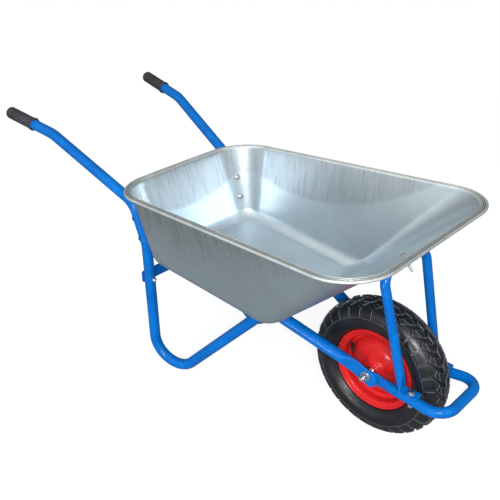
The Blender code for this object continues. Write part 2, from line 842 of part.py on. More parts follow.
def drill_valve_hole(piece, radius):
    """Cut the hole where the valve stem passes a wall at this radius."""
    direction = valve_point(1, 0)
    drill(piece, [(valve_point(radius, VALVE_Y), direction, VALVE_RADIUS + GAP, 0.012)])
    cutter = piece.modifiers["Holes"].object
    cutter.parent = piece.parent


def build_valve(parent):
    """Stem from the air tube through the right half's drum, turned outwards there, and its cap."""
    start = AIR_TUBE_CENTRE - AIR_TUBE_RADIUS + 2 * AIR_TUBE_WALL
    width = 2 * VALVE_RADIUS
    stops = [
        Stop(valve_point(start, VALVE_Y), 0, width, width),
        Stop(valve_point(VALVE_TURN_RADIUS, VALVE_Y), VALVE_BEND, width, width),
        Stop(valve_point(*VALVE_END), 0, width, width),
    ]
    stem = add_object("valve_stem", tube_mesh(stops, (0, 0, 1), open_start=True, open_end=True), "butyl")
    stem.parent = parent
    cap_profile = [
        (VALVE_RADIUS - 0.001, -CAP_LENGTH),
        (VALVE_RADIUS + 0.0005, 0.002 - CAP_LENGTH),
        (VALVE_RADIUS + 0.0005, -GAP),
    ]
    cap = add_object("valve_cap", turned_mesh(round_profile(cap_profile), 10), "butyl")
    place(cap, valve_point(*VALVE_END), valve_point(VALVE_TURN_RADIUS, VALVE_Y) - valve_point(*VALVE_END))
    cap.parent = parent


# ---------------------------------------------------------------- axle and fasteners


def add_ring_piece(name, radius, bore, length, is_hexagon, seat, direction):
    """A washer, a spacer or a nut, from its seat along a direction."""
    profile = [(radius, 0, is_hexagon), (radius, length, is_hexagon)]
    profile += [(bore, length, False), (bore, 0, False)]
    piece = add_object(name, turned_mesh(profile, FASTENER_SIDES, closed=True), "zinc")
    place(piece, seat, direction)


def build_axle():
    """Threaded shaft with a spacer, a washer and a nut at each end."""
    profile = [
        (AXLE_RADIUS - 0.001, -AXLE_HALF_LENGTH),
        (AXLE_RADIUS, -AXLE_HALF_LENGTH + 0.001),
        (AXLE_RADIUS, AXLE_HALF_LENGTH - 0.001),
        (AXLE_RADIUS - 0.001, AXLE_HALF_LENGTH),
    ]
    axle = add_object("axle", turned_mesh(round_profile(profile), 16), "zinc")
    place(axle, AXLE, (0, 1, 0))
    spacer_start = HUB_HALF_LENGTH + GAP
    spacer_length = HOOP_PLATE_Y - SQUASHED / 2 - GAP - spacer_start
    washer_start = SIDE_PLATE_Y + SQUASHED / 2 + GAP
    nut_start = washer_start + AXLE_WASHER_THICKNESS + GAP
    for side in (LEFT, RIGHT):
        for name, radius, start, length, is_hexagon in (
            ("axle_spacer", SPACER_RADIUS, spacer_start, spacer_length, False),
            ("axle_washer", AXLE_WASHER_RADIUS, washer_start, AXLE_WASHER_THICKNESS, False),
            ("axle_nut", AXLE_NUT_CORNER, nut_start, AXLE_NUT_HEIGHT, True),
        ):
            seat = AXLE + Vector((0, side * start, 0))
            node = f"{name}_{SIDE_NAMES[side]}"
            add_ring_piece(node, radius, AXLE_HOLE, length, is_hexagon, seat, (0, side, 0))


def add_bolt_and_nut(name, head, thread, seat, direction, grip, spare):
    """A bolt whose head sits on the seat, and its nut beyond the grip length."""
    length = grip + thread.nut_height + spare
    profile = head + [(thread.radius, 0, False), (thread.radius, length, False)]
    bolt = add_object(f"{name}_bolt", turned_mesh(profile, FASTENER_SIDES), "zinc")
    place(bolt, seat, direction)
    nut_seat = seat + direction.normalized() * grip
    bore = thread.radius + GAP
    add_ring_piece(f"{name}_nut", thread.nut_corner, bore, thread.nut_height, True, nut_seat, direction)


def add_hexagon_bolt(name, seat, direction, grip):
    head = [
        (M8.nut_corner, -HEAD_HEIGHT, True),
        (M8.nut_corner, -FLANGE_HEIGHT, True),
        (FLANGE_RADIUS, -FLANGE_HEIGHT, False),
        (FLANGE_RADIUS, 0, False),
    ]
    add_bolt_and_nut(name, head, M8, seat, direction, grip, SPARE_THREAD)


def add_domed_bolt(name, seat, direction, grip, spare):
    head = []
    for angle in map(math.radians, (72, 36, 0)):
        head.append((DOME_RADIUS * math.cos(angle), -DOME_HEIGHT * math.sin(angle), False))
    add_bolt_and_nut(name, head, M6, seat, direction, grip, spare)


def build_rear_wall_bolts(side):
    """Two bolts from behind the handle tube into the tray, each with a washer and a nut inside."""
    head_depth = SHEET + HANDLE_TUBE + 2 * GAP
    for level, share in rear_bolt_shares():
        name = f"rear_wall_{level}_{SIDE_NAMES[side]}"
        point, inward = rear_corner_wall(share)
        point, inward = mirrored(point, side), mirrored(inward, side)
        washer_seat = point + inward * WALL_WASHER_LIFT
        bore = M6.radius + GAP
        thickness = WALL_WASHER_THICKNESS
        add_ring_piece(f"{name}_washer", WALL_WASHER_RADIUS, bore, thickness, False, washer_seat, inward)
        grip = head_depth + WALL_WASHER_LIFT + thickness + GAP
        add_domed_bolt(name, point - inward * head_depth, inward, grip, SPARE_THREAD)


def build_bolts():
    """Rear wall, joint, brace foot and centre bolts, each with its nut."""
    for side in (LEFT, RIGHT):
        hand = SIDE_NAMES[side]
        build_rear_wall_bolts(side)
        joint = mirrored(leg_point(BAR_CENTRE_HEIGHT), side)
        behind = LEG_TUBE / 2 + BAR_THICKNESS + 2 * GAP
        grip = behind + LEG_TUBE / 2 + GAP
        add_hexagon_bolt(f"joint_{hand}", joint - joint_axis() * behind, joint_axis(), grip)
        foot = foot_bolt_point(side)
        foot.z = foot_plate_height() + SQUASHED / 2 + GAP
        grip = foot.z - AXLE.z + HOOP_TUBE / 2 + GAP
        add_hexagon_bolt(f"brace_foot_{hand}", foot, Vector((0, 0, -1)), grip)
    _, _, outward = front_wall()
    grip = SHEET + BRACE_TUBE + 3 * GAP
    seat = centre_bolt_seat() - outward * GAP
    add_domed_bolt("front_wall", seat, outward, grip, FRONT_SPARE_THREAD)


# ---------------------------------------------------------------- assembly


def main():
    clear_scene()
    build_tray()
    for side in (LEFT, RIGHT):
        build_handle_tube(side)
        build_side_tube(side)
        build_grip(side)
    build_nose_hoop()
    build_front_brace()
    build_cross_bar()
    wheel = wheel_centre()
    build_tyre(wheel)
    build_inner_tube(wheel)
    for side in (LEFT, RIGHT):
        build_rim_half(wheel, side)
    build_hub(wheel)
    build_valve(wheel)
    build_axle()
    build_bolts()


main()
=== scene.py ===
"""Looks of the wheelbarrow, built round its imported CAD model.

Metres, in the CAD model's own frame: +X forward to the wheel, +Y to the barrow's left, +Z up.
"""

import math
from collections import namedtuple

import bmesh
import bpy
from mathutils import Matrix, Vector
from mathutils.kdtree import KDTree


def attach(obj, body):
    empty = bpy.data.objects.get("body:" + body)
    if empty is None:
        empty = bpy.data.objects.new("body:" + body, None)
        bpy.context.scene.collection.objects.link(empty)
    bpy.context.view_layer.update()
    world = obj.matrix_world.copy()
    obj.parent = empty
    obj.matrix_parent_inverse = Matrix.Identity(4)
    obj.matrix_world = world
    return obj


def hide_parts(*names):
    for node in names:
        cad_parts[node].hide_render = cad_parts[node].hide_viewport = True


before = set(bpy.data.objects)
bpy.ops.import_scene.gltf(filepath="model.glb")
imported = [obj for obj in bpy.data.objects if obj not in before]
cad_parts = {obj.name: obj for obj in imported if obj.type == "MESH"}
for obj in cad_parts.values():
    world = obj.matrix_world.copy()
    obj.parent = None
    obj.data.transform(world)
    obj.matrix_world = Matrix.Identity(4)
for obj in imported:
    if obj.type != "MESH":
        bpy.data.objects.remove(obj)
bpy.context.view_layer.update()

# ---------------- dimensions shared with the CAD

GAP = 0.0003
LEFT, RIGHT = 1, -1
SIDE_NAMES = {LEFT: "left", RIGHT: "right"}

TYRE_RADIUS = 0.195
TYRE_HALF_WIDTH = 0.050
AXLE = Vector((0.4715, 0.0, TYRE_RADIUS))
WIDEST_RADIUS = 0.150
BEAD_RADIUS = 0.1022
BEAD_OUTER_Y = 0.0240
BEAD_INNER_Y = 0.0150
RIM_SHEET = 0.002
DRUM_RADIUS = 0.0990
VALVE_ANGLE = math.radians(-156)
VALVE_RADIUS = 0.004
VALVE_Y = 0.0103
VALVE_START_RADIUS = 0.125
VALVE_TURN_RADIUS = 0.0905
VALVE_BEND = 0.008
VALVE_END = (0.0795, 0.0255)
CAP_LENGTH = 0.009
HUB_RADIUS = 0.018
HUB_HALF_LENGTH = 0.0475
BEARING_RADIUS = 0.016
AXLE_RADIUS = 0.006
AXLE_HALF_LENGTH = 0.091

HANDLE_TUBE = 0.032
LEG_TUBE = 0.033
HOOP_TUBE = 0.028
BRACE_TUBE = 0.0245
TUBE_WALL = 0.0016
SQUASHED = 0.004
HANDLE_BEND_RADIUS = 0.10
REAR_BEND_RADIUS = 0.07
LEG_BEND_RADIUS = 0.06
GRIP_END = Vector((-0.7199, 0.274, 0.762))
HANDLE_BEND = Vector((-0.5352, 0.252, 0.719))
FOOT_CORNER = Vector((-0.2503, 0.189, -0.098))
FOOT_BEND = 0.0797
KNEE = Vector((0.1877, 0.1175, 0.3170))
KNEE_BEND = 0.055
JOINT_HEIGHT = 0.3225
JOINT_INSERT = 0.055
SIDE_PLATE_Y = 0.0672
HOOP_PLATE_Y = 0.0625
HOOP_FRONT_HALF_WIDTH = 0.0945
HOOP_FRONT_X = 0.7139
HOOP_BEND = 0.045
HOOP_PLATE_LENGTH = 0.034
BRACE_TOP_HALF_WIDTH = 0.0945
BRACE_FOOT_X = 0.590
BRACE_BEND = 0.035

SHEET = 0.0010
RIM_HEIGHT = 0.608
RIM_WIDTH = 0.018
REAR_RIM_EXTRA = 0.004  # the rim is this much wider along the rear
FLOOR_REAR_HEIGHT = 0.384
FLOOR_FRONT_HEIGHT = 0.320
FLOOR_FILLET = 0.11
FLOOR_FILLET_REACH = 0.018
FLOOR_CORNER_SHARE = 0.14  # how fast the corners tighten on lines further in from the floor's edge
REAR_WALL_ANGLE = math.radians(28)
REAR_BEND_SHARE = 0.775
LEG_BEND_SHARE = 0.208
UPPER_BOLT_SHARE = 0.575
LOWER_BOLT_SHARE = 0.300
CENTRE_BOLT_HEIGHT = 0.5374

BAR_HEIGHT = 0.038
BAR_THICKNESS = 0.004
BAR_HALF_LENGTH = 0.211
BAR_CENTRE_HEIGHT = 0.312
BAR_CORNER = 0.006
BAR_EDGE = 0.0006
Thread = namedtuple("Thread", "radius nut_corner nut_height pitch")
M8 = Thread(0.004, 0.0075, 0.0065, 0.00125)
M6 = Thread(0.003, 0.0058, 0.0050, 0.00100)
HEAD_HEIGHT = 0.0065
FLANGE_RADIUS = 0.0100
FLANGE_HEIGHT = 0.0015
DOME_RADIUS = 0.0080
DOME_HEIGHT = 0.0032
SPARE_THREAD = 0.004
FRONT_SPARE_THREAD = 0.017
WALL_WASHER_RADIUS = 0.0100
WALL_WASHER_THICKNESS = 0.0016
WALL_WASHER_LIFT = 0.0012
SPACER_RADIUS = 0.013
AXLE_WASHER_RADIUS = 0.014
AXLE_WASHER_THICKNESS = 0.002
AXLE_NUT_CORNER = 0.0108
AXLE_NUT_HEIGHT = 0.010
GRIP_LENGTH = 0.112
GRIP_RADIUS = 0.0185
GRIP_END_WALL = 0.004

Outline = namedtuple("Outline", "rear front half_rear half_front corner_rear corner_front")
Stop = namedtuple("Stop", "point bend across deep")

RIM_OUTLINE = Outline(-0.2740, 0.6290, 0.2790, 0.3200, 0.130, 0.130)
FLOOR_CORNER = Outline(-0.196, 0.252, 0.215, 0.208, 0.050, 0.030)

# ---------------- detail of the visual model

TUBE_SIDES = 40
ARC_STEP = math.radians(5)
SQUASH_STEPS = 10
CORNER_STEPS = 26
LONG_STEPS = 90
SHORT_STEPS = 44
WALL_STEPS = 44
FILLET_STEPS = 12
FILLET_FLATNESS = 0.45
FLOOR_INSETS = (0.190, 0.150, 0.110, 0.075, 0.050, 0.036)
WALL_END = 0.985  # share of the wall's height where the rim's bead takes over
ROLL_RADIUS = 0.0042
REAR_BOW = 0.003
BOW_START = -0.1
BOW_FADE = 0.08
BOW_MARGIN = 0.05  # the bow ends this far short of the rim's sides

# Lower edge of the streaks that drawing leaves on a wall: its lowest height, how fast it rises to both sides,
# and where along the wall it is lowest
Sag = namedtuple("Sag", "height rise middle")
SIDE_SAG = Sag(0.482, 0.82, 0.05)
REAR_SAG = Sag(0.486, 0.90, 0.0)
FRONT_SAG = Sag(0.72, 0.0, 0.0)  # above the rim, as the front wall has no streaks
FRONT_PART = 0.1  # X from which an end wall is the front one
STREAK_FADE = 0.12  # height over which the streaks set in

TREAD_PITCHES = 30
TREAD_DEPTH = 0.0055
TREAD_BEVEL = 0.0010
CARCASS_SIDES = 180
TREAD_FULLNESS = 0.82  # under 1 makes the tread's section squarer than an ellipse
TREAD_STEPS = 40
GROOVE_FADE = (50, 88)  # degrees round the section between which the grooves fade out
BLOCK_ROOT = 0.0008  # how far the blocks reach into the casing
LEAST_BLOCK = 0.25  # share of its full height that a block keeps at least
SIDEWALL_STEPS = 43
SIDEWALL_FOOT = (0.1168, 0.0268)  # radius and half width at its foot, beside the rim's lip
CASING_WALL = 0.007
CROWN_INSIDE = (0.180, 0.028)
RIDGES = (0.1185, 0.1275)  # radii between which the sidewall has fine ridges
RIDGE_FADE = 0.001
RIDGE_HEIGHT = 0.0004
RIDGE_PITCH = 0.0030
LIP_CENTRE = (0.1140, 0.0322)
LIP_RADIUS = 0.0022
TURNED_SIDES = 48
RIM_SIDES = 144
THREAD_DEPTH = 0.0005
AXLE_THREAD_PITCH = 0.0014
GRIP_RIBS = 26
RIB_DEPTH = 0.0004

# Rings at a tube's ends: how much narrower than the tube each is, and how far along it
TUBE_START = ((0.0008, 0.0), (0.0, 0.0005))
CLOSED_END = ((0.0, -0.0005), (0.0008, 0.0))
OPEN_END = (
    (0.0, -0.0004),
    (0.0008, 0.0),
    (2 * TUBE_WALL - 0.0006, 0.0),
    (2 * TUBE_WALL, -0.0004),
    (2 * TUBE_WALL, -0.012),
)

BRIGHT_SIDE = (0.45, -0.89, 0.0)
LIGHT_FROM_BELOW = (0.18, 0.90)  # strength of the surroundings away from the bright side, and on it
LIGHT_FROM_ABOVE = (0.28, 1.05)
SIDE_RANGE = (-0.4, 0.6)  # how far a direction points to the bright side, over which the strength rises
HEIGHT_RANGE = (0.3, 0.8)  # how far a direction points up, from the lower strength to the upper one
FLOOR_TONE = (0.32, 0.33, 0.34, 1)
FLOOR_GLOW = 0.80
FLOOR_HALF_WIDTH = 30
FLOOR_DROP = 0.0005
WHITE = (1, 1, 1, 1)

Light = namedtuple("Light", "direction distance size power")
LIGHTS = {
    "window": Light((0.66, -0.66, 0.40), 3.4, (1.3, 0.7), 76),
    "side_light": Light((0.16, -0.98, -0.03), 3.0, (0.5, 0.5), 20),
}
LIGHT_TARGET = Vector((0.0, 0.0, 0.4))

# The camera's place, axes, lens and shift
CAMERA_AT = Vector((1.3655, -1.3935, 1.3518))
CAMERA_RIGHT = Vector((0.7322, 0.6792, -0.0493))
CAMERA_UP = Vector((-0.2674, 0.3533, 0.8965))
CAMERA_FORWARD = Vector((-0.6263, 0.6433, -0.4403))
CAMERA_LENS = 53.13
CAMERA_SENSOR = 36
CAMERA_SHIFT = (0.0015, -0.0012)


# ---------------- shader tools


class Nodes:
    """A node tree that is put together node by node."""

    def __init__(self, owner):
        owner.use_nodes = True
        self.tree = owner.node_tree

    def node(self, kind, inputs, **settings):
        made = self.tree.nodes.new("ShaderNode" + kind)
        for setting, value in settings.items():
            setattr(made, setting, value)
        for key, value in inputs.items():
            if isinstance(value, bpy.types.NodeSocket):
                self.tree.links.new(value, made.inputs[key])
            else:
                made.inputs[key].default_value = value
        return made

    def remap(self, value, low, high, new_low, new_high):
        inputs = {0: value, 1: low, 2: high, 3: new_low, 4: new_high}
        return self.node("MapRange", inputs).outputs[0]

    def camera_ray(self):
        """1 for what the camera sees straight on, and 0 for reflections and for light on the barrow."""
        return self.node("LightPath", {}).outputs["Is Camera Ray"]


class Shader(Nodes):
    """One Principled material."""

    def __init__(self, name, constants):
        self.material = bpy.data.materials.new(name)
        super().__init__(self.material)
        self.surface = self.tree.nodes["Principled BSDF"]
        for socket, value in constants.items():
            self.surface.inputs[socket].default_value = value
        self.place = self.node("TexCoord", {}).outputs["Object"]

    def noise(self, scale, detail=3.0, vector=None, roughness=0.55):
        inputs = {"Vector": vector or self.place, "Scale": scale, "Detail": detail, "Roughness": roughness}
        return self.node("TexNoise", inputs).outputs["Fac"]

    def patches(self, scale, detail, low, high, least=0.0, most=1.0):
        """Noise that goes from the least to the most between two of its own values."""
        return self.remap(self.noise(scale, detail), low, high, least, most)

    def stained(self, colour, tone, scale, detail, low, high, most=1.0):
        """The colour with another tone laid over it in patches."""
        return self.mix(self.patches(scale, detail, low, high, 0.0, most), colour, tone)

    def cells(self, scale, output="Distance"):
        return self.node("TexVoronoi", {"Vector": self.place, "Scale": scale}).outputs[output]

    def stretched(self, scales, vector=None):
        inputs = {0: vector or self.place, 1: scales}
        return self.node("VectorMath", inputs, operation="MULTIPLY").outputs[0]

    def attribute(self, name, output="Fac"):
        return self.node("Attribute", {}, attribute_name=name).outputs[output]

    def math(self, operation, first, second):
        return self.node("Math", {0: first, 1: second}, operation=operation).outputs[0]

    def mix(self, share, first, second):
        first = first if isinstance(first, bpy.types.NodeSocket) else (*first, 1)
        second = second if isinstance(second, bpy.types.NodeSocket) else (*second, 1)
        return self.node("Mix", {0: share, 6: first, 7: second}, data_type="RGBA").outputs[2]

    def bump(self, height, depth, normal=None):
        inputs = {"Height": height, "Distance": depth, "Strength": 1.0}
        if normal:
            inputs["Normal"] = normal
        return self.node("Bump", inputs).outputs["Normal"]

    def connect(self, colour, roughness, normal):
        """Link the surface's colour, roughness and normal, and hand back the material."""
        for socket, name in ((colour, "Base Color"), (roughness, "Roughness"), (normal, "Normal")):
            self.tree.links.new(socket, self.surface.inputs[name])
        return self.material


def powder_coat(name, deep, body, light):
    """Glossy paint: slow colour drift, orange peel, faint dust and rubbed specks."""
    shader = Shader(name, {"Coat Weight": 0.22, "Coat Roughness": 0.06, "Specular IOR Level": 0.08})
    colour = shader.stained(deep, body, 5.0, 3.0, 0.35, 0.65)
    colour = shader.stained(colour, light, 60.0, 4.0, 0.5, 0.75, 0.5)
    specks = shader.remap(shader.cells(240.0), 0.0, 0.10, 0.30, 0.0)
    rubbed = shader.math("MULTIPLY", specks, shader.patches(11.0, 3.0, 0.5, 0.62))
    colour = shader.mix(rubbed, colour, (0.62, 0.66, 0.70))
    roughness = shader.patches(26.0, 5.0, 0.3, 0.7, 0.20, 0.34)
    peel = shader.bump(shader.noise(420.0, 2.0), 0.00006)
    normal = shader.bump(shader.noise(34.0, 2.0), 0.00022, peel)
    return shader.connect(colour=colour, roughness=roughness, normal=normal)


def sheet_steel(name, smooth_tone, drawn_tone, streak_tone, streak, roughness, edge):
    """Galvanised sheet: cloudy zinc, faint spangle, and drawing streaks that run down the walls.

    The streaks fade out between the two values of the attribute "drawn" that edge gives.
    """
    shader = Shader(name, {"Metallic": 0.78})
    column = shader.attribute("column", "Vector")
    drawn = shader.remap(shader.attribute("drawn"), *edge, 0.0, 1.0)
    base = shader.mix(drawn, smooth_tone, drawn_tone)
    colour = shader.stained(base, streak_tone, 7.0, 4.0, 0.30, 0.70, 0.22)
    spangle = shader.remap(shader.cells(95.0, output="Color"), 0.0, 1.0, 0.0, 0.07)
    colour = shader.mix(spangle, colour, streak_tone)
    fine = shader.noise(1.0, 3.0, shader.stretched((560.0, 560.0, 11.0), column), 0.65)
    broad = shader.noise(1.0, 3.0, shader.stretched((85.0, 85.0, 6.0), column), 0.6)
    patch = shader.remap(broad, 0.40, 0.62, 0.25, 1.0)
    lines = shader.math("MULTIPLY", shader.remap(fine, 0.44, 0.64, 0.0, 1.0), drawn)
    lines = shader.math("MULTIPLY", lines, patch)
    colour = shader.mix(shader.math("MULTIPLY", lines, streak), colour, streak_tone)
    polish = shader.patches(70.0, 6.0, 0.3, 0.7, roughness - 0.03, roughness + 0.04)
    rough = shader.math("ADD", polish, shader.math("MULTIPLY", lines, 0.10))
    pits = shader.bump(shader.noise(900.0, 2.0), 0.00002)
    waves = shader.bump(shader.noise(9.0, 2.0), 0.0005, pits)
    normal = shader.bump(shader.math("MULTIPLY", fine, drawn), 0.00006, waves)
    return shader.connect(colour=colour, roughness=rough, normal=normal)


def rim_steel():
    """The rim's flange and roll: bright worn zinc with fine cross hatching, and painted shade in its grooves
    and under its roll.
    """
    shader = Shader("galvanised_rim", {"Metallic": 0.70})
    groove_shade = shader.attribute("groove_shade")
    hatch = shader.noise(1.0, 4.0, shader.stretched((700.0, 260.0, 500.0)), 0.7)
    colour = shader.stained((0.68, 0.75, 0.75), (0.92, 0.98, 0.97), 22.0, 4.0, 0.3, 0.7)
    colour = shader.mix(shader.remap(hatch, 0.46, 0.62, 0.0, 0.42), colour, (0.20, 0.22, 0.22))
    # painted shade: near black where the ring's shade share is high, in the rim's grooves and under its roll
    colour = shader.mix(shader.remap(groove_shade, 0.2, 0.8, 0.0, 0.92), colour, (0.035, 0.038, 0.036))
    roughness = shader.remap(hatch, 0.3, 0.7, 0.26, 0.44)
    normal = shader.bump(hatch, 0.00012)
    return shader.connect(colour=colour, roughness=roughness, normal=normal)


def zinc_plate():
    """Bright zinc plating on fasteners, dulled in patches."""
    shader = Shader("zinc_plate", {"Metallic": 1.0})
    colour = shader.stained((0.72, 0.73, 0.75), (0.50, 0.51, 0.52), 170.0, 4.0, 0.35, 0.7)
    colour = shader.stained(colour, (0.30, 0.29, 0.27), 420.0, 3.0, 0.58, 0.72, 0.5)
    roughness = shader.patches(300.0, 4.0, 0.3, 0.7, 0.18, 0.38)
    normal = shader.bump(shader.noise(1500.0, 2.0), 0.00003)
    return shader.connect(colour=colour, roughness=roughness, normal=normal)


Rubber = namedtuple("Rubber", "deep worn dusty roughness grain_depth wave_depth specular")


def moulded_rubber(name, look, scuff_and_highlight=None):
    """Black rubber or soft plastic: fine moulded grain, bloom and light dust.

    A lighter edge tone, if there is one, shows in patches where the attribute "edge" is over 0: partly
    scuffing, partly a painted highlight along the edges.
    """
    shader = Shader(name, {"Specular IOR Level": look.specular})
    colour = shader.stained(look.deep, look.worn, 14.0, 5.0, 0.38, 0.7)
    if scuff_and_highlight:
        edge_patches = shader.patches(160.0, 4.0, 0.35, 0.65, 0.35)
        # painted highlight on the rounded edges, partly scuffing, broken into patches
        colour = shader.mix(shader.math("MULTIPLY", shader.attribute("edge"), edge_patches), colour, scuff_and_highlight)
    colour = shader.stained(colour, look.dusty, 310.0, 3.0, 0.60, 0.74, 0.35)
    roughness = shader.patches(48.0, 4.0, 0.3, 0.7, look.roughness - 0.08, look.roughness + 0.08)
    grain = shader.bump(shader.noise(1400.0, 2.0), look.grain_depth)
    normal = shader.bump(shader.noise(45.0, 3.0), look.wave_depth, grain)
    return shader.connect(colour=colour, roughness=roughness, normal=normal)


BLUE = powder_coat("blue_powder_coat", (0.0, 0.110, 0.43), (0.0, 0.155, 0.56), (0.0, 0.22, 0.68))
RED = powder_coat("red_powder_coat", (0.54, 0.013, 0.014), (0.62, 0.019, 0.021), (0.68, 0.03, 0.03))
STEEL_INSIDE = sheet_steel(
    "galvanised_inside", (0.70, 0.81, 0.87), (0.60, 0.68, 0.73), (0.25, 0.29, 0.32), 0.70, 0.31, (0.45, 0.55)
)
# painted shade: the tray's outer face is the same sheet as the inside, given darker tones
STEEL_OUTSIDE_SHADED = sheet_steel(
    "galvanised_outside_shaded", (0.44, 0.53, 0.58), (0.40, 0.46, 0.49), (0.13, 0.13, 0.13), 0.80, 0.36, (0.10, 1.0)
)
STEEL_RIM = rim_steel()
ZINC = zinc_plate()
TREAD_LOOK = Rubber(
    (0.004, 0.0045, 0.006), (0.010, 0.011, 0.014), (0.030, 0.033, 0.040), 0.34, 0.00004, 0.00015, 0.50
)
BUTYL_LOOK = Rubber(
    (0.010, 0.010, 0.011), (0.020, 0.020, 0.022), (0.060, 0.060, 0.066), 0.50, 0.00003, 0.00012, 0.45
)
GRIP_LOOK = Rubber(
    (0.026, 0.026, 0.031), (0.050, 0.050, 0.058), (0.150, 0.150, 0.174), 0.48, 0.00006, 0.00024, 0.45
)
# its lighter edge tone is partly scuffing and partly a painted highlight on the block edges
TYRE_RUBBER = moulded_rubber("tyre_rubber", TREAD_LOOK, scuff_and_highlight=(0.11, 0.12, 0.14))
BUTYL = moulded_rubber("butyl_rubber", BUTYL_LOOK)
GRIP_PLASTIC = moulded_rubber("grip_plastic", GRIP_LOOK)


# ---------------- mesh tools


def add_object(name, data):
    made = bpy.data.objects.new(name, data)
    bpy.context.scene.collection.objects.link(made)
    return made


def mesh_from(name, bm, materials):
    mesh = bpy.data.meshes.new(name)
    bm.to_mesh(mesh)
    bm.free()
    for material in materials:
        mesh.materials.append(material)
    return mesh


def add_piece(name, bm, materials, body, stands_for, sharp=35):
    """Link a bmesh as a piece that rides on a body and stands for its CAD nodes."""
    mesh = mesh_from(name, bm, materials)
    mesh.shade_smooth()
    mesh.set_sharp_from_angle(angle=math.radians(sharp))
    piece = add_object(name, mesh)
    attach(piece, body)
    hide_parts(*stands_for)
    return piece


def mirrored(point, side):
    return Vector((point[0], side * point[1], point[2]))


def smooth(share):
    share = max(0.0, min(1.0, share))
    return share * share * (3 - 2 * share)


def add_ring(bm, points):
    return [bm.verts.new(point) for point in points]


def bridge(bm, first, second):
    count = len(first)
    for k in range(count):
        following = (k + 1) % count
        bm.faces.new((first[k], first[following], second[following], second[k]))


def skin(bm, rings, closed=False):
    """Bridge each ring to the next, and then the last to the first, or else fill both end rings."""
    for first, second in zip(rings, rings[1:]):
        bridge(bm, first, second)
    if closed:
        bridge(bm, rings[-1], rings[0])
    else:
        bm.faces.new(reversed(rings[0]))
        bm.faces.new(rings[-1])


def frame_at(point, direction):
    """Matrix that puts local +Z along a direction at a point."""
    turn = Vector(direction).to_track_quat("Z", "Y").to_matrix().to_4x4()
    return Matrix.Translation(point) @ turn


WHEEL_FRAME = frame_at(AXLE, (0, 1, 0))


def turned(profile, matrix, sides=TURNED_SIDES, closed=False):
    """Turn (radius, height) points about the matrix's Z. A third number is a hexagon's half width."""
    bm = bmesh.new()
    rings = []
    for radius, height, *flat in profile:
        points = []
        for k in range(sides):
            angle = 2 * math.pi * k / sides
            reach = radius
            if flat:
                past_corner = angle % (math.pi / 3) - math.pi / 6
                reach = min(radius, flat[0] / math.cos(past_corner))
            points.append(matrix @ Vector((reach * math.cos(angle), reach * math.sin(angle), height)))
        rings.append(add_ring(bm, points))
    skin(bm, rings, closed)
    bmesh.ops.recalc_face_normals(bm, faces=bm.faces)
    return bm


def rounded(points, radius, steps=4):
    """The same (radius, height) line with each inner corner cut by a small arc."""
    found = [points[0]]
    for before, here, after in zip(points, points[1:], points[2:]):
        before, here, after = Vector(before), Vector(here), Vector(after)
        back = min(radius, (before - here).length / 2.2)
        ahead = min(radius, (after - here).length / 2.2)
        start = here + (before - here).normalized() * back
        end = here + (after - here).normalized() * ahead
        for k in range(steps + 1):
            t = k / steps
            found.append(tuple(start * (1 - t) ** 2 + here * 2 * t * (1 - t) + end * t * t))
    found.append(points[-1])
    return found


def section(across, deep):
    """Corner points of a tube section: a circle, or the slot shape it is pressed into."""
    small = min(across, deep) / 2
    points = []
    for k in range(TUBE_SIDES):
        angle = 2 * math.pi * (k + 0.5) / TUBE_SIDES
        x, y = math.cos(angle), math.sin(angle)
        stretch_x = math.copysign(across / 2 - small, x)
        stretch_y = math.copysign(deep / 2 - small, y)
        points.append((stretch_x + small * x, stretch_y + small * y))
    return points


def stations(stops):
    """(point, tangent, across, deep) along a bent tube, with an arc at each stop that has a bend."""
    found = []
    last = len(stops) - 1
    for i, stop in enumerate(stops):
        before = (stop.point - stops[max(i - 1, 0)].point).normalized()
        after = (stops[min(i + 1, last)].point - stop.point).normalized()
        if i == 0:
            before = after
        if i == last:
            after = before
        if stop.bend == 0:
            found.append((stop.point, (before + after).normalized(), stop.across, stop.deep))
            continue
        turn = before.angle(after)
        inward = (after - before * math.cos(turn)) / math.sin(turn)
        start = stop.point - before * stop.bend * math.tan(turn / 2)
        centre = start + inward * stop.bend
        steps = max(2, math.ceil(turn / ARC_STEP))
        for k in range(steps + 1):
            angle = turn * k / steps
            spoke = before * math.sin(angle) - inward * math.cos(angle)
            tangent = before * math.cos(angle) + inward * math.sin(angle)
            found.append((centre + spoke * stop.bend, tangent, stop.across, stop.deep))
    return found


def eased(path):
    """The same stations with a smooth swelling between a pressed section and a round one."""
    found = [path[0]]
    for first, second in zip(path, path[1:]):
        thin = (min(first[2], first[3]), min(second[2], second[3]))
        if abs(thin[0] - thin[1]) > 0.002:
            for k in range(1, SQUASH_STEPS):
                t = k / SQUASH_STEPS
                s = smooth(t)
                point = first[0].lerp(second[0], t)
                tangent = first[1].lerp(second[1], t).normalized()
                across = first[2] + (second[2] - first[2]) * s
                deep = first[3] + (second[3] - first[3]) * s
                found.append((point, tangent, across, deep))
        found.append(second)
    return found


def tube_mesh(stops, side, open_end=False):
    """Sweep a tube along its stops, with the edges of its ends softened."""
    bm = bmesh.new()
    across_axis = Vector(side)
    rings = []
    path = eased(stations(stops))
    steps = [TUBE_START] + [((0.0, 0.0),)] * (len(path) - 2) + [OPEN_END if open_end else CLOSED_END]
    for (point, tangent, across, deep), ring_steps in zip(path, steps):
        across_axis = (across_axis - tangent * across_axis.dot(tangent)).normalized()
        deep_axis = tangent.cross(across_axis)
        for narrower, ahead in ring_steps:
            centre = point + tangent * ahead
            shape = section(across - narrower, deep - narrower)
            rings.append(add_ring(bm, [centre + across_axis * x + deep_axis * y for x, y in shape]))
    skin(bm, rings)
    return bm


# ---------------- tray geometry


def blend_outline(first, second, share):
    return Outline(*(a + (b - a) * share for a, b in zip(first, second)))


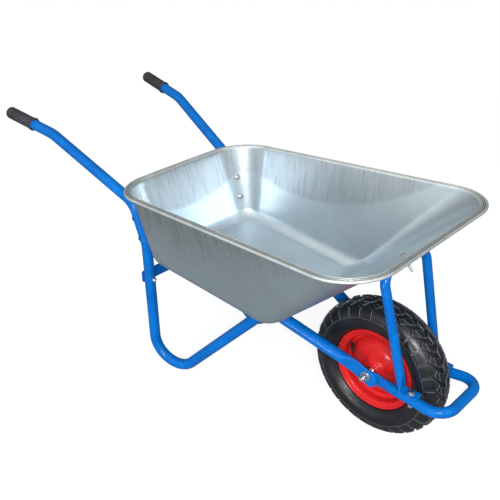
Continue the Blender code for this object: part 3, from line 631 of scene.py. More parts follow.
def inset_outline(outline, inset, corner_share=1.0):
    corner = inset * corner_share
    moves = (inset, -inset, -inset, -inset, -corner, -corner)
    return Outline(*(value + move for value, move in zip(outline, moves)))


WALL_TOP = inset_outline(RIM_OUTLINE, RIM_WIDTH)._replace(
    rear=RIM_OUTLINE.rear + RIM_WIDTH + REAR_RIM_EXTRA
)


def outline_points(outline):
    """Plan points round a tapered rounded rectangle, with extra points along its straight sides."""
    corners = (
        (outline.rear, RIGHT, outline.half_rear, outline.corner_rear, 180),
        (outline.front, RIGHT, outline.half_front, outline.corner_front, 270),
        (outline.front, LEFT, outline.half_front, outline.corner_front, 0),
        (outline.rear, LEFT, outline.half_rear, outline.corner_rear, 90),
    )
    arcs = []
    for x, side, half_width, radius, start in corners:
        centre_x = x + (radius if x == outline.rear else -radius)
        centre_y = side * (half_width - radius)
        arc = []
        for k in range(CORNER_STEPS + 1):
            angle = math.radians(start + 90 * k / CORNER_STEPS)
            arc.append(Vector((centre_x + radius * math.cos(angle), centre_y + radius * math.sin(angle))))
        arcs.append(arc)
    points = []
    for i, arc in enumerate(arcs):
        points += arc
        following = arcs[(i + 1) % 4][0]
        steps = LONG_STEPS if i % 2 == 0 else SHORT_STEPS
        points += [arc[-1].lerp(following, k / steps) for k in range(1, steps)]
    return points


def bowed(x, y, share):
    """The rear edge bows outwards between its corners, more towards the rim."""
    if x > BOW_START:
        return x
    reach = max(0.0, 1 - (y / (RIM_OUTLINE.half_rear - BOW_MARGIN)) ** 2)
    return x - REAR_BOW * reach * share * smooth((BOW_START - x) / BOW_FADE)


def wall_ring(share):
    """Points on the tray's inner wall surface at this share of its height."""
    outline = blend_outline(FLOOR_CORNER, WALL_TOP, share)
    ring = []
    for x, y in outline_points(outline):
        along = (x - outline.rear) / (outline.front - outline.rear)
        floor = FLOOR_REAR_HEIGHT + (FLOOR_FRONT_HEIGHT - FLOOR_REAR_HEIGHT) * along
        ring.append(Vector((bowed(x, y, share), y, floor + (RIM_HEIGHT - floor) * share)))
    return ring


def floor_ring(inset):
    corner = FLOOR_CORNER
    outline = inset_outline(corner, inset, FLOOR_CORNER_SHARE)
    slope = (FLOOR_FRONT_HEIGHT - FLOOR_REAR_HEIGHT) / (corner.front - corner.rear)
    return [
        Vector((x, y, FLOOR_REAR_HEIGHT + slope * (x - corner.rear))) for x, y in outline_points(outline)
    ]


def rim_ring(inset, drop):
    points = outline_points(inset_outline(RIM_OUTLINE, inset))
    return [Vector((bowed(x, y, 1), y, RIM_HEIGHT - drop)) for x, y in points]


def rear_corner_wall(share):
    """Point and inward normal on the rear left corner's wall, where the handle tube lies."""

    def on_wall(at_share, angle):
        outline = blend_outline(FLOOR_CORNER, WALL_TOP, at_share)
        radius = outline.corner_rear
        x = outline.rear + radius * (1 - math.cos(angle))
        y = outline.half_rear - radius * (1 - math.sin(angle))
        z = FLOOR_REAR_HEIGHT + (RIM_HEIGHT - FLOOR_REAR_HEIGHT) * at_share
        return Vector((x, y, z))

    small = 0.01
    point = on_wall(share, REAR_WALL_ANGLE)
    up = on_wall(share + small, REAR_WALL_ANGLE) - point
    along = on_wall(share, REAR_WALL_ANGLE + small) - point
    return point, along.cross(up).normalized()


def handle_axis_at(share):
    point, inward = rear_corner_wall(share)
    return point - inward * (SHEET + GAP + HANDLE_TUBE / 2)


def front_wall():
    """Foot, upward direction and outward normal of the front wall's inner face at the centre."""
    foot = Vector((FLOOR_CORNER.front, 0, FLOOR_FRONT_HEIGHT))
    top = Vector((WALL_TOP.front, 0, RIM_HEIGHT))
    up = (top - foot).normalized()
    return foot, up, Vector((up.z, 0, -up.x))


REAR_BEND = handle_axis_at(REAR_BEND_SHARE)
LEG_BEND = handle_axis_at(LEG_BEND_SHARE)
LEG_DOWN = (FOOT_CORNER - LEG_BEND).normalized()
JOINT_AXIS = Vector((-LEG_DOWN.z, 0, LEG_DOWN.x))


def leg_point(height):
    return LEG_BEND + LEG_DOWN * ((height - LEG_BEND.z) / LEG_DOWN.z)


def centre_bolt_seat():
    foot, up, _ = front_wall()
    return foot + up * ((CENTRE_BOLT_HEIGHT - foot.z) / up.z)


def brace_bar_centre():
    _, _, outward = front_wall()
    return centre_bolt_seat() + outward * (SHEET + GAP + BRACE_TUBE / 2)


def sagging(line, along):
    return line.height + line.rise * (along - line.middle) ** 2


def drawn_amount(point, facing):
    """How far the wall is into its streaked part: 0.5 on a sagging line, 0 well below it and 1 well above."""
    end = FRONT_SAG if point.x >= FRONT_PART else REAR_SAG
    line = sagging(SIDE_SAG, point.x) * facing.y**2 + sagging(end, point.y) * facing.x**2
    return min(1.0, max(0.0, 0.5 + (point.z - line) / STREAK_FADE))


class RimLine:
    """The rim's outer line in plan, for finding which part of it a wall point lies under."""

    def __init__(self):
        self.points = [point.to_2d() for point in rim_ring(0, 0)]
        self.tree = KDTree(len(self.points))
        for k, point in enumerate(self.points):
            self.tree.insert(point.to_3d(), k)
        self.tree.balance()

    def nearest(self, place):
        """Closest point of the line in plan, and the line's outward direction there."""
        plan = place.to_2d()
        _, k, _ = self.tree.find(plan.to_3d())
        before, after = self.points[k - 1], self.points[(k + 1) % len(self.points)]
        along = (after - before).normalized()
        above = self.points[k] + along * (plan - self.points[k]).dot(along)
        return above, Vector((along.y, -along.x))


def rim_profile():
    """(inset, drop, painted shade) across the rim: a bead at the wall's top, the flange and the rolled edge,
    with painted shade in the grooves and under the roll.
    """
    roll = 2 * ROLL_RADIUS
    # the entries at 1.0 paint shade into the groove beside the bead and the groove before the roll
    profile = [
        (RIM_WIDTH - 0.0004, 0.0006, 0.0), (RIM_WIDTH - 0.0010, -0.0008, 0.0),
        (RIM_WIDTH - 0.0022, -0.0013, 0.0), (RIM_WIDTH - 0.0032, -0.0006, 0.0),
        (RIM_WIDTH - 0.0038, 0.0010, 1.0), (RIM_WIDTH - 0.0050, 0.0012, 1.0),
        (RIM_WIDTH - 0.0056, 0.0002, 0.0), (roll + 0.0016, 0.0004, 0.0),
        (roll + 0.0010, 0.0022, 1.0), (roll - 0.0002, 0.0024, 1.0),
    ]
    for k in range(15):
        angle = math.radians(145 - 20 * k)
        inset = ROLL_RADIUS * (1 - math.cos(angle)) + 0.0002
        drop = ROLL_RADIUS * (1 - math.sin(angle)) - 0.0004
        # painted shade on the roll's underside
        profile.append((inset, drop, 1.0 if drop > 1.7 * ROLL_RADIUS else 0.0))
    return profile


def build_tray():
    floor_start = floor_ring(FLOOR_FILLET_REACH)
    corner = wall_ring(0)
    wall_start = wall_ring(FLOOR_FILLET)
    rings = [floor_ring(inset) for inset in FLOOR_INSETS]
    for k in range(FILLET_STEPS + 1):
        t = k / FILLET_STEPS
        ring = []
        for low, bend, high in zip(floor_start, corner, wall_start):
            arc = low * (1 - t) ** 2 + bend * 2 * t * (1 - t) + high * t * t
            ring.append(arc.lerp(low.lerp(high, t), FILLET_FLATNESS))
        rings.append(ring)
    for k in range(1, WALL_STEPS + 1):
        rings.append(wall_ring(FLOOR_FILLET + (WALL_END - FLOOR_FILLET) * k / WALL_STEPS))
    wall_count = len(rings)
    profile = rim_profile()
    rings += [rim_ring(inset, drop) for inset, drop, _ in profile]
    # painted shade share for each ring: none on the walls, and the rim profile's groove and roll shade on the
    # rim
    groove_shade_by_ring = [0.0] * wall_count + [amount for _, _, amount in profile]

    bm = bmesh.new()
    column = bm.verts.layers.float_vector.new("column")
    drawn = bm.verts.layers.float.new("drawn")
    groove_shade = bm.verts.layers.float.new("groove_shade")
    edge = RimLine()
    made = []
    for points, amount in zip(rings, groove_shade_by_ring):
        verts = add_ring(bm, points)
        for vert in verts:
            vert[groove_shade] = amount
            above, facing = edge.nearest(vert.co)
            vert[column] = Vector((above.x, above.y, vert.co.z))
            vert[drawn] = drawn_amount(vert.co, facing)
        made.append(verts)
    for i, (first, second) in enumerate(zip(made, made[1:])):
        before = len(bm.faces)
        bridge(bm, second, first)
        bm.faces.ensure_lookup_table()
        if i + 1 >= wall_count:
            for face in bm.faces[before:]:
                face.material_index = 2
    bm.faces.new(made[0])
    materials = (STEEL_INSIDE, STEEL_OUTSIDE_SHADED, STEEL_RIM, STEEL_RIM)
    tray = add_piece("tray_shell", bm, materials, "frame", ["tray"], sharp=60)
    thicken = tray.modifiers.new("Sheet", "SOLIDIFY")
    thicken.thickness = SHEET
    thicken.offset = -1
    # the outer face takes the darker, shaded copy of the steel (painted shade)
    thicken.material_offset = 1


# ---------------- frame tubes


def mirrored_stops(stops, side):
    return [stop._replace(point=mirrored(stop.point, side)) for stop in stops]


def add_blue(name, bm, node):
    add_piece(name, bm, [BLUE], "frame", [node])


def build_handle_tube(side):
    seam = leg_point(JOINT_HEIGHT + GAP)
    insert = LEG_TUBE - 2 * TUBE_WALL - 3 * GAP
    stops = [
        Stop(GRIP_END, 0, HANDLE_TUBE, HANDLE_TUBE),
        Stop(HANDLE_BEND, HANDLE_BEND_RADIUS, HANDLE_TUBE, HANDLE_TUBE),
        Stop(REAR_BEND, REAR_BEND_RADIUS, HANDLE_TUBE, HANDLE_TUBE),
        Stop(LEG_BEND, LEG_BEND_RADIUS, HANDLE_TUBE, HANDLE_TUBE),
        Stop(seam - LEG_DOWN * 0.0008, 0, HANDLE_TUBE, HANDLE_TUBE),
        Stop(seam, 0, HANDLE_TUBE - 0.0008, HANDLE_TUBE - 0.0008),
        Stop(seam + LEG_DOWN * 0.0002, 0, insert, insert),
        Stop(leg_point(JOINT_HEIGHT - JOINT_INSERT), 0, insert, insert),
    ]
    bm = tube_mesh(mirrored_stops(stops, side), (0, 1, 0))
    add_blue(f"handle_{SIDE_NAMES[side]}", bm, f"handle_tube_{SIDE_NAMES[side]}")


def build_side_tube(side):
    """Pressed-flat axle end, rise to the tray's floor, ground bend and leg, in one tube."""
    axle_end = Vector((AXLE.x, SIDE_PLATE_Y, AXLE.z))
    rise = Vector((KNEE.x - AXLE.x, 0, KNEE.z - AXLE.z)).normalized()
    stops = []
    for along, outward, across, deep in (
        (-0.033, 0, SQUASHED, 0.026), (-0.021, 0, SQUASHED, 0.044), (0.036, 0, SQUASHED, 0.044),
        (0.060, 0.0030, 0.016, 0.040), (0.082, 0.0065, LEG_TUBE, LEG_TUBE),
    ):
        stops.append(Stop(axle_end + rise * along + Vector((0, outward, 0)), 0, across, deep))
    stops += [
        Stop(KNEE, KNEE_BEND, LEG_TUBE, LEG_TUBE),
        Stop(FOOT_CORNER, FOOT_BEND, LEG_TUBE, LEG_TUBE),
        Stop(leg_point(JOINT_HEIGHT), 0, LEG_TUBE, LEG_TUBE),
    ]
    bm = tube_mesh(mirrored_stops(stops, side), (0, 1, 0), open_end=True)
    add_blue(f"leg_{SIDE_NAMES[side]}", bm, f"side_tube_{SIDE_NAMES[side]}")


def hoop_half_width(x):
    start = AXLE.x + HOOP_PLATE_LENGTH
    share = max(0, (x - start) / (HOOP_FRONT_X - start))
    return HOOP_PLATE_Y + (HOOP_FRONT_HALF_WIDTH - HOOP_PLATE_Y) * share


def both_halves(half):
    """Stops of a tube that is the same on both sides: up the right half and back down the left."""
    return half(RIGHT) + list(reversed(half(LEFT)))


def build_nose_hoop():
    def half(side):
        stops = []
        for ahead, bend, across, deep in (
            (-0.022, 0, 0.022, SQUASHED), (-0.012, 0, 0.036, SQUASHED),
            (HOOP_PLATE_LENGTH, 0, 0.036, SQUASHED), (HOOP_PLATE_LENGTH + 0.022, 0, 0.029, 0.014),
            (HOOP_PLATE_LENGTH + 0.050, 0, HOOP_TUBE, HOOP_TUBE),
            (HOOP_FRONT_X - AXLE.x, HOOP_BEND, HOOP_TUBE, HOOP_TUBE),
        ):
            x = AXLE.x + ahead
            stops.append(Stop(Vector((x, side * hoop_half_width(x), AXLE.z)), bend, across, deep))
        return stops

    add_blue("front_hoop", tube_mesh(both_halves(half), (0, 0, 1)), "nose_hoop")


def foot_bolt_point(side):
    x = BRACE_FOOT_X + 0.024
    return Vector((x, side * hoop_half_width(x), AXLE.z))


def foot_plate_height():
    return AXLE.z + HOOP_TUBE / 2 + GAP + SQUASHED / 2


def build_front_brace():
    """Upside-down U from the hoop's sides up to the front wall, with feet pressed flat."""
    bar = brace_bar_centre()

    def half(side):
        foot = Vector((BRACE_FOOT_X, foot_bolt_point(side).y, foot_plate_height()))
        top = Vector((bar.x, side * BRACE_TOP_HALF_WIDTH, bar.z))
        rise = (top - foot).normalized()
        return [
            Stop(foot + Vector((0.046, 0, 0)), 0, 0.026, SQUASHED),
            Stop(foot + Vector((0.040, 0, 0)), 0, 0.034, SQUASHED),
            Stop(foot, 0.007, 0.034, SQUASHED),
            Stop(foot + rise * 0.024, 0, 0.030, 0.013),
            Stop(foot + rise * 0.050, 0, BRACE_TUBE, BRACE_TUBE),
            Stop(top, BRACE_BEND, BRACE_TUBE, BRACE_TUBE),
        ]

    add_blue("brace", tube_mesh(both_halves(half), (0, 1, 0)), "front_brace")


def build_cross_bar():
    """Flat bar across the backs of both legs."""
    centre = leg_point(BAR_CENTRE_HEIGHT) - JOINT_AXIS * (LEG_TUBE / 2 + GAP + BAR_THICKNESS / 2)
    centre.y = 0
    bm = bmesh.new()
    bmesh.ops.create_cube(bm, size=1)
    bmesh.ops.scale(bm, vec=(BAR_HEIGHT, 2 * BAR_HALF_LENGTH, BAR_THICKNESS), verts=bm.verts)
    corners = [edge for edge in bm.edges if abs(edge.verts[0].co.z - edge.verts[1].co.z) > 0.001]
    bmesh.ops.bevel(bm, geom=corners, offset=BAR_CORNER, segments=8, affect="EDGES", profile=0.5)
    edges = [edge for edge in bm.edges if abs(edge.verts[0].co.z - edge.verts[1].co.z) < 0.001]
    rims = [edge for edge in edges if abs(edge.calc_face_angle()) > 1]
    bmesh.ops.bevel(bm, geom=rims, offset=BAR_EDGE, segments=3, affect="EDGES", profile=0.5)
    turn = Matrix.Rotation(math.atan2(JOINT_AXIS.x, JOINT_AXIS.z), 4, "Y")
    bmesh.ops.transform(bm, matrix=Matrix.Translation(centre) @ turn, verts=bm.verts)
    add_blue("leg_cross_bar", bm, "cross_bar")


# ---------------- grips


def build_grip(side):
    """Blind sleeve with a domed end, a ring line and a ribbed barrel."""
    barrel = GRIP_RADIUS
    bore = HANDLE_TUBE / 2 + GAP
    outer_end = GRIP_LENGTH - GRIP_END_WALL
    profile = [
        (0.002, -GRIP_END_WALL), (barrel - 0.0060, -GRIP_END_WALL + 0.0002),
        (barrel - 0.0018, -GRIP_END_WALL + 0.0016), (barrel - 0.0002, 0.0015), (barrel, 0.0050),
        (barrel, 0.0170), (barrel - 0.0009, 0.0180), (barrel - 0.0009, 0.0195), (barrel, 0.0205),
    ]
    start, end = 0.024, GRIP_LENGTH - 0.018
    rib = (end - start) / GRIP_RIBS
    for k in range(GRIP_RIBS + 1):
        along = start + rib * k
        profile += [(barrel - RIB_DEPTH, along), (barrel, along + 0.45 * rib)]
    profile += [
        (barrel, GRIP_LENGTH - 0.0120), (barrel + 0.0018, GRIP_LENGTH - 0.0100),
        (barrel + 0.0020, GRIP_LENGTH - 0.0080), (barrel + 0.0018, outer_end - 0.0006),
        (barrel + 0.0010, outer_end), (bore, outer_end), (bore, outer_end - 0.010),
    ]
    origin = mirrored(GRIP_END, side)
    matrix = frame_at(origin, mirrored(HANDLE_BEND, side) - origin)
    name = f"grip_{SIDE_NAMES[side]}"
    bm = turned(profile, matrix)
    add_piece(f"handle_{name}", bm, [GRIP_PLASTIC], "frame", [name], sharp=50)


# ---------------- wheel


def wheel_point(angle, radius, y):
    """A point of the wheel, in the row frame. The angle runs round the axle from forward to up."""
    return AXLE + Vector((radius * math.cos(angle), y, radius * math.sin(angle)))


def tread_surface(turn, height):
    """(radius, y) of the tread at an angle round its section, raised or sunk by a height."""
    power = 2 / TREAD_FULLNESS
    half_width = TYRE_HALF_WIDTH
    half_depth = TYRE_RADIUS - WIDEST_RADIUS
    sine, cosine = abs(math.sin(turn)), max(0.0, math.cos(turn))
    across = half_width * sine**TREAD_FULLNESS
    out = half_depth * cosine**TREAD_FULLNESS
    normal = Vector(
        ((out / half_depth) ** (power - 1) / half_depth, (across / half_width) ** (power - 1) / half_width)
    ).normalized()
    side = math.copysign(1, turn)
    return WIDEST_RADIUS + out + normal.x * height, side * (across + normal.y * height)


def groove_depth(turn):
    """Depth of the grooves between the tread blocks, fading out on the sidewall."""
    start, end = GROOVE_FADE
    return TREAD_DEPTH * (1 - smooth((math.degrees(abs(turn)) - start) / (end - start)))


def sidewall(radius):
    """Half width of the tyre below its widest point, with fine ridges above the rim."""
    foot_radius, foot_width = SIDEWALL_FOOT
    share = (WIDEST_RADIUS - radius) / (WIDEST_RADIUS - foot_radius)
    width = foot_width + (TYRE_HALF_WIDTH - foot_width) * math.sqrt(max(0.0, 1 - share * share))
    start, end = RIDGES
    ridge = smooth((radius - start) / RIDGE_FADE) * smooth((end - radius) / RIDGE_FADE)
    return width + RIDGE_HEIGHT * ridge * math.cos(2 * math.pi * radius / RIDGE_PITCH)


def carcass_profile():
    half = []
    for k in range(TREAD_STEPS + 1):
        turn = math.radians(90 * k / TREAD_STEPS)
        half.append(tread_surface(turn, -groove_depth(turn)))
    for k in range(1, SIDEWALL_STEPS + 1):
        radius = WIDEST_RADIUS - (WIDEST_RADIUS - SIDEWALL_FOOT[0]) * k / SIDEWALL_STEPS
        half.append((radius, sidewall(radius)))
    half.append((BEAD_RADIUS, BEAD_OUTER_Y))
    inside = [(BEAD_RADIUS, BEAD_INNER_Y), (WIDEST_RADIUS, TYRE_HALF_WIDTH - CASING_WALL), CROWN_INSIDE]
    inside += [(radius, -y) for radius, y in reversed(inside)]
    other = [(radius, -y) for radius, y in reversed(half[1:])]
    return half + inside + other


def tread_blocks():
    """Outlines of one pitch's blocks: (share of the pitch, distance across), in order round each block."""
    shoulder = [(0.05, 0.0690), (0.05, 0.0375), (0.50, 0.0235), (0.95, 0.0375), (0.95, 0.0690)]
    wedge = [(0.15, 0.0190), (0.85, 0.0190), (0.50, 0.0310)]
    crown = [(0.03, 0.0015), (0.63, 0.0015), (0.93, 0.0160), (0.33, 0.0160)]
    return (shoulder, 0.0), (wedge, 0.5), (crown, 0.25)


def block_mesh(outline, pitch_length):
    """One tread block, flat: X round the tyre, Y across it and Z outwards, with rounded top edges.

    Its layer "edge" is 1 on the rounded edges, where the rubber gets scuffing and a painted highlight.
    """
    bm = bmesh.new()
    edge = bm.verts.layers.float.new("edge")
    bottom = add_ring(bm, [(x * pitch_length, y, -TREAD_DEPTH - BLOCK_ROOT) for x, y in outline])
    top = add_ring(bm, [(x * pitch_length, y, 0.0) for x, y in outline])
    bridge(bm, bottom, top)
    cap = bm.faces.new(top)
    bmesh.ops.recalc_face_normals(bm, faces=bm.faces)
    bevel = bmesh.ops.bevel(
        bm, geom=list(cap.edges), offset=TREAD_BEVEL, segments=3, affect="EDGES", profile=0.5
    )
    for vert in bevel["verts"]:
        vert[edge] = 1.0
    top_face = max(bm.faces, key=lambda face: face.normal.z * face.calc_area())
    bmesh.ops.inset_individual(bm, faces=[top_face], thickness=TREAD_BEVEL)
    for vert in top_face.verts:
        vert[edge] = 0.0
    for axis, step in ((Vector((1, 0, 0)), pitch_length / 6), (Vector((0, 1, 0)), 0.004)):
        values = [vert.co.dot(axis) for vert in bm.verts]
        for k in range(math.floor(min(values) / step), math.ceil(max(values) / step) + 1):
            geometry = list(bm.verts) + list(bm.edges) + list(bm.faces)
            bmesh.ops.bisect_plane(bm, geom=geometry, plane_co=axis * step * k, plane_no=axis, dist=1e-6)
    return bm


def build_tyre():
    bm = bmesh.new()
    edge = bm.verts.layers.float.new("edge")
    rings = []
    profile = carcass_profile()
    for k in range(CARCASS_SIDES):
        angle = 2 * math.pi * k / CARCASS_SIDES
        rings.append(add_ring(bm, [wheel_point(angle, radius, y) for radius, y in profile]))
    skin(bm, rings, closed=True)
    pitch_length = 2 * math.pi * TYRE_RADIUS / TREAD_PITCHES
    section_radius = (TYRE_HALF_WIDTH + TYRE_RADIUS - WIDEST_RADIUS) / 2
    for outline, shift in tread_blocks():
        block = block_mesh(outline, pitch_length)
        # the edge layer carries the scuffing and painted highlight onto each copied block
        worn = block.verts.layers.float["edge"]
        for side in (LEFT, RIGHT):
            stagger = shift + (0.5 if side == RIGHT else 0)
            for k in range(TREAD_PITCHES):
                copies = {}
                for vert in block.verts:
                    angle = (vert.co.x / pitch_length + stagger + k) * 2 * math.pi / TREAD_PITCHES
                    turn = vert.co.y / section_radius
                    height = vert.co.z * max(groove_depth(turn) / TREAD_DEPTH, LEAST_BLOCK)
                    radius, y = tread_surface(turn, height)
                    copies[vert] = bm.verts.new(wheel_point(angle, radius, side * y))
                    copies[vert][edge] = vert[worn]
                for face in block.faces:
                    bm.faces.new([copies[vert] for vert in face.verts])
        block.free()
    bmesh.ops.recalc_face_normals(bm, faces=bm.faces)
    add_piece("tyre_casing", bm, [TYRE_RUBBER], "wheel", ["tyre"], sharp=40)


def rim_line():
    """Middle line of one pressed rim half: rolled lip, bead seat, well, dome and hub bellows."""
    roll = []
    for k in range(7):
        angle = math.radians(200 - 38 * k)
        out, across = LIP_RADIUS * math.cos(angle), LIP_RADIUS * math.sin(angle)
        roll.append((LIP_CENTRE[0] + out, LIP_CENTRE[1] + across))
    pressing = [
        (0.1095, 0.0303), (0.1030, 0.0290), (DRUM_RADIUS + 0.0006, 0.0250), (DRUM_RADIUS, 0.0060),
        (0.0930, 0.0014), (0.0870, 0.0014), (0.0820, 0.0110), (0.0760, 0.0180), (0.0680, 0.0235),
        (0.0550, 0.0285), (0.0430, 0.0308), (0.0350, 0.0320), (0.0325, 0.0345), (0.0318, 0.0362),
        (0.0285, 0.0370), (0.0275, 0.0395), (0.0268, 0.0408), (0.0238, 0.0416), (0.0230, 0.0438),
        (0.0222, 0.0452), (HUB_RADIUS + GAP + RIM_SHEET / 2, 0.0460),
    ]
    return roll[::-1] + rounded(pressing, 0.0040, 4)


def thick_profile(line, thickness):
    ahead, behind = [], []
    for i, (radius, height) in enumerate(line):
        r0, h0 = line[max(i - 1, 0)]
        r1, h1 = line[min(i + 1, len(line) - 1)]
        length = math.hypot(r1 - r0, h1 - h0)
        normal_r, normal_h = (h1 - h0) / length, -(r1 - r0) / length
        ahead.append((radius + normal_r * thickness / 2, height + normal_h * thickness / 2))
        behind.append((radius - normal_r * thickness / 2, height - normal_h * thickness / 2))
    return ahead + behind[::-1]


def build_rim_half(side):
    name = f"rim_{SIDE_NAMES[side]}"
    loop = [(radius, side * height) for radius, height in thick_profile(rim_line(), RIM_SHEET)]
    bm = turned(loop, WHEEL_FRAME, RIM_SIDES, closed=True)
    add_piece(f"pressed_{name}", bm, [RED], "wheel", [name], sharp=50)


def build_hub():
    bore = BEARING_RADIUS + GAP
    half = HUB_HALF_LENGTH
    outer_edge = [(HUB_RADIUS, half - 0.001), (HUB_RADIUS - 0.0007, half)]
    profile = outer_edge + [(bore + 0.0004, half), (bore, half - 0.0004)]
    loop = [(radius, -height) for radius, height in profile] + profile[::-1]
    bm = turned(loop, WHEEL_FRAME, closed=True)
    add_piece("hub_sleeve", bm, [RED], "wheel", ["hub_tube"])


def valve_point(radius, y):
    """A point on the valve's line, on the right side. Its angle runs from forward to down."""
    return wheel_point(-VALVE_ANGLE, radius, -y)


def build_valve():
    width = 2 * VALVE_RADIUS
    end = valve_point(*VALVE_END)
    turn = valve_point(VALVE_TURN_RADIUS, VALVE_Y)
    stops = [
        Stop(valve_point(VALVE_START_RADIUS, VALVE_Y), 0, width, width),
        Stop(turn, VALVE_BEND, width, width),
        Stop(end, 0, width, width),
    ]
    add_piece("valve", tube_mesh(stops, (0, 1, 0)), [BUTYL], "wheel", ["valve_stem"])
    cap = VALVE_RADIUS + 0.0005
    profile = [(0.0010, CAP_LENGTH), (cap - 0.0012, CAP_LENGTH), (cap - 0.0002, CAP_LENGTH - 0.0012)]
    for k in range(5):
        height = CAP_LENGTH - 0.0020 - 0.0013 * k
        profile += [(cap, height), (cap - 0.0004, height - 0.0006)]
    profile += [(cap, GAP), (0.0010, GAP)]
    bm = turned(profile[::-1], frame_at(end, end - turn), 24)
    add_piece("valve_dust_cap", bm, [BUTYL], "wheel", ["valve_cap"])


# ---------------- axle and fasteners


def threaded(radius, start, end, pitch):
    """(radius, height) points of a threaded stretch of a shank."""
    points = []
    turns = int((end - start) / pitch)
    for k in range(turns):
        height = start + pitch * k
        points += [(radius - THREAD_DEPTH, height), (radius, height + pitch / 2)]
    return points + [(radius - THREAD_DEPTH, end)]


def hexagon(corner, bore, low, high):
    """A nut's closed loop of points, chamfered at both ends."""
    flat = corner * math.cos(math.pi / 6)
    cut = corner - flat
    return [
        (flat * 0.97, low, flat), (corner, low + cut * 0.6, flat), (corner, high - cut * 0.6, flat),
        (flat * 0.97, high, flat), (bore + 0.0006, high), (bore, high - 0.0006),
        (bore, low + 0.0006), (bore + 0.0006, low),
    ]


def ring_loop(outer, bore, low, high, edge=0.0004):
    outside = [(outer - edge, low), (outer, low + edge), (outer, high - edge), (outer - edge, high)]
    return outside + [(bore, high), (bore, low)]


def add_fastener(node, points, matrix, closed=False):
    bm = turned(points, matrix, closed=closed)
    add_piece(f"{node}_part", bm, [ZINC], "frame", [node])


def build_axle():
    """Threaded shaft with a spacer, a washer and a nut at each end."""
    half = AXLE_HALF_LENGTH
    thread = threaded(AXLE_RADIUS, SIDE_PLATE_Y + 0.003, half - 0.0014, AXLE_THREAD_PITCH)
    left_end = thread + [(AXLE_RADIUS - 0.0004, half - 0.0010), (AXLE_RADIUS - 0.0016, half)]
    right_end = [(radius, -height) for radius, height in reversed(left_end)]
    add_piece("axle_shaft", turned(right_end + left_end, WHEEL_FRAME), [ZINC], "frame", ["axle"])
    bore = AXLE_RADIUS + GAP
    spacer_start = HUB_HALF_LENGTH + GAP
    spacer_length = HOOP_PLATE_Y - SQUASHED / 2 - GAP - spacer_start
    washer_start = SIDE_PLATE_Y + SQUASHED / 2 + GAP
    nut_start = washer_start + AXLE_WASHER_THICKNESS + GAP
    for side in (LEFT, RIGHT):
        for name, loop, start in (
            ("axle_spacer", ring_loop(SPACER_RADIUS, bore, 0, spacer_length, 0.0008), spacer_start),
            ("axle_washer", ring_loop(AXLE_WASHER_RADIUS, bore, 0, AXLE_WASHER_THICKNESS), washer_start),
            ("axle_nut", hexagon(AXLE_NUT_CORNER, bore, 0, AXLE_NUT_HEIGHT), nut_start),
        ):
            matrix = frame_at(AXLE + Vector((0, side * start, 0)), (0, side, 0))
            add_fastener(f"{name}_{SIDE_NAMES[side]}", loop, matrix, closed=True)


def add_bolt_and_nut(name, head, thread, seat, direction, grip, spare):
    """A bolt whose head sits on the seat, and its nut beyond the grip length."""
    length = grip + thread.nut_height + spare
    profile = head + [(thread.radius, 0)]
    profile += threaded(thread.radius, grip - 0.004, length - 0.001, thread.pitch)
    profile.append((0.7 * thread.radius, length))
    matrix = frame_at(seat, direction)
    add_fastener(f"{name}_bolt", profile, matrix)
    nut = hexagon(thread.nut_corner, thread.radius + GAP, grip, grip + thread.nut_height)
    add_fastener(f"{name}_nut", nut, matrix, closed=True)


def add_hexagon_bolt(name, seat, direction, grip):
    flat = M8.nut_corner * math.cos(math.pi / 6)
    head = [
        (flat * 0.60, -HEAD_HEIGHT + 0.0003, flat), (flat * 0.66, -HEAD_HEIGHT, flat),
        (flat * 0.96, -HEAD_HEIGHT, flat), (M8.nut_corner, -HEAD_HEIGHT + 0.0008, flat),
        (M8.nut_corner, -FLANGE_HEIGHT - 0.0004, flat), (M8.nut_corner, -FLANGE_HEIGHT),
        (FLANGE_RADIUS - 0.0004, -FLANGE_HEIGHT * 0.55), (FLANGE_RADIUS, -FLANGE_HEIGHT * 0.3),
        (FLANGE_RADIUS, 0),
    ]
    add_bolt_and_nut(name, head, M8, seat, direction, grip, SPARE_THREAD)


def add_domed_bolt(name, seat, direction, grip, spare):
    head = []
    for k in range(8):
        angle = math.radians(84 - 12 * k)
        head.append((DOME_RADIUS * math.cos(angle), -DOME_HEIGHT * math.sin(angle)))
    add_bolt_and_nut(name, head, M6, seat, direction, grip, spare)


def build_rear_wall_bolts(side):
    """Two bolts from behind the handle tube into the tray, each with a washer and a nut inside."""
    head_depth = SHEET + HANDLE_TUBE + 2 * GAP
    for level, share in (("upper", UPPER_BOLT_SHARE), ("lower", LOWER_BOLT_SHARE)):
        name = f"rear_wall_{level}_{SIDE_NAMES[side]}"
        point, inward = rear_corner_wall(share)
        point, inward = mirrored(point, side), mirrored(inward, side)
        washer = ring_loop(WALL_WASHER_RADIUS, M6.radius + GAP, 0, WALL_WASHER_THICKNESS)
        matrix = frame_at(point + inward * WALL_WASHER_LIFT, inward)
        add_fastener(f"{name}_washer", washer, matrix, closed=True)
        grip = head_depth + WALL_WASHER_LIFT + WALL_WASHER_THICKNESS + GAP
        add_domed_bolt(name, point - inward * head_depth, inward, grip, SPARE_THREAD)


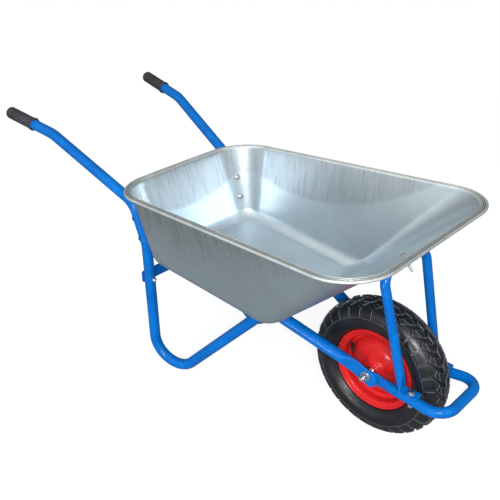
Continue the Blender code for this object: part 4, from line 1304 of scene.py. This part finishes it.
def build_bolts():
    for side in (LEFT, RIGHT):
        hand = SIDE_NAMES[side]
        build_rear_wall_bolts(side)
        joint = mirrored(leg_point(BAR_CENTRE_HEIGHT), side)
        behind = LEG_TUBE / 2 + BAR_THICKNESS + 2 * GAP
        grip = behind + LEG_TUBE / 2 + GAP
        add_hexagon_bolt(f"joint_{hand}", joint - JOINT_AXIS * behind, JOINT_AXIS, grip)
        foot = foot_bolt_point(side)
        foot.z = foot_plate_height() + SQUASHED / 2 + GAP
        grip = foot.z - AXLE.z + HOOP_TUBE / 2 + GAP
        add_hexagon_bolt(f"brace_foot_{hand}", foot, Vector((0, 0, -1)), grip)
    _, _, outward = front_wall()
    grip = SHEET + BRACE_TUBE + 3 * GAP
    seat = centre_bolt_seat() - outward * GAP
    add_domed_bolt("front_wall", seat, outward, grip, FRONT_SPARE_THREAD)


def finish_cad_nodes():
    """The pieces that are shown as they are in the CAD get their finish."""
    for name, material, slot in (
        ("inner_tube", BUTYL, "butyl"), ("bearing_left", ZINC, "zinc"),
        ("bearing_right", ZINC, "zinc"),
    ):
        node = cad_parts[name]
        node.data.materials.clear()
        node.data.materials.append(material)


# ---------------- stage


def build_world():
    """Surroundings that are white to the camera, and light the barrow most from above on the bright side."""
    world = bpy.data.worlds.new("studio")
    bpy.context.scene.world = world
    studio = Nodes(world)
    direction = studio.node("TexCoord", {}).outputs["Generated"]
    product = studio.node("VectorMath", {0: direction, 1: BRIGHT_SIDE}, operation="DOT_PRODUCT")
    towards = product.outputs["Value"]
    below = studio.remap(towards, *SIDE_RANGE, *LIGHT_FROM_BELOW)
    above = studio.remap(towards, *SIDE_RANGE, *LIGHT_FROM_ABOVE)
    height = studio.node("SeparateXYZ", {0: direction}).outputs["Z"]
    share = studio.remap(height, *HEIGHT_RANGE, 0.0, 1.0)
    strength = studio.node("Mix", {"Factor": share, "A": below, "B": above}).outputs["Result"]
    seen = studio.node("Mix", {"Factor": studio.camera_ray(), "A": strength, "B": 1.0}).outputs["Result"]
    background = studio.tree.nodes["Background"]
    background.inputs["Color"].default_value = WHITE
    studio.tree.links.new(seen, background.inputs["Strength"])


def build_floor():
    """A grey floor with a glow that only the camera sees, so that it looks white."""
    shader = Shader("studio_floor", {"Base Color": FLOOR_TONE, "Roughness": 0.9, "Emission Color": WHITE})
    glow = shader.remap(shader.camera_ray(), 0.0, 1.0, 0.0, FLOOR_GLOW)
    shader.tree.links.new(glow, shader.surface.inputs["Emission Strength"])
    bm = bmesh.new()
    bmesh.ops.create_grid(bm, x_segments=1, y_segments=1, size=FLOOR_HALF_WIDTH)
    floor = add_object("studio_floor", mesh_from("studio_floor", bm, [shader.material]))
    floor.location.z = -FLOOR_DROP


def build_lights():
    for name, light in LIGHTS.items():
        lamp = bpy.data.lights.new(name, "AREA")
        lamp.shape = "RECTANGLE"
        lamp.size, lamp.size_y = light.size
        lamp.energy = light.power
        made = add_object(name, lamp)
        away = Vector(light.direction).normalized()
        made.location = LIGHT_TARGET + away * light.distance
        made.rotation_euler = away.to_track_quat("Z", "Y").to_euler()


def build_camera():
    camera = bpy.data.cameras.new("camera")
    camera.lens = CAMERA_LENS
    camera.sensor_width = CAMERA_SENSOR
    camera.shift_x, camera.shift_y = CAMERA_SHIFT
    made = add_object("camera", camera)
    columns = Matrix((CAMERA_RIGHT, CAMERA_UP, -CAMERA_FORWARD)).transposed().to_4x4()
    made.matrix_world = Matrix.Translation(CAMERA_AT) @ columns
    bpy.context.scene.camera = made


# ---------------- assembly

build_tray()
for side in (LEFT, RIGHT):
    build_handle_tube(side)
    build_side_tube(side)
    build_grip(side)
build_nose_hoop()
build_front_brace()
build_cross_bar()
build_tyre()
for side in (LEFT, RIGHT):
    build_rim_half(side)
build_hub()
build_valve()
build_axle()
build_bolts()
finish_cad_nodes()
bpy.context.scene.view_settings.view_transform = "Standard"
build_world()
build_floor()
build_lights()
build_camera()
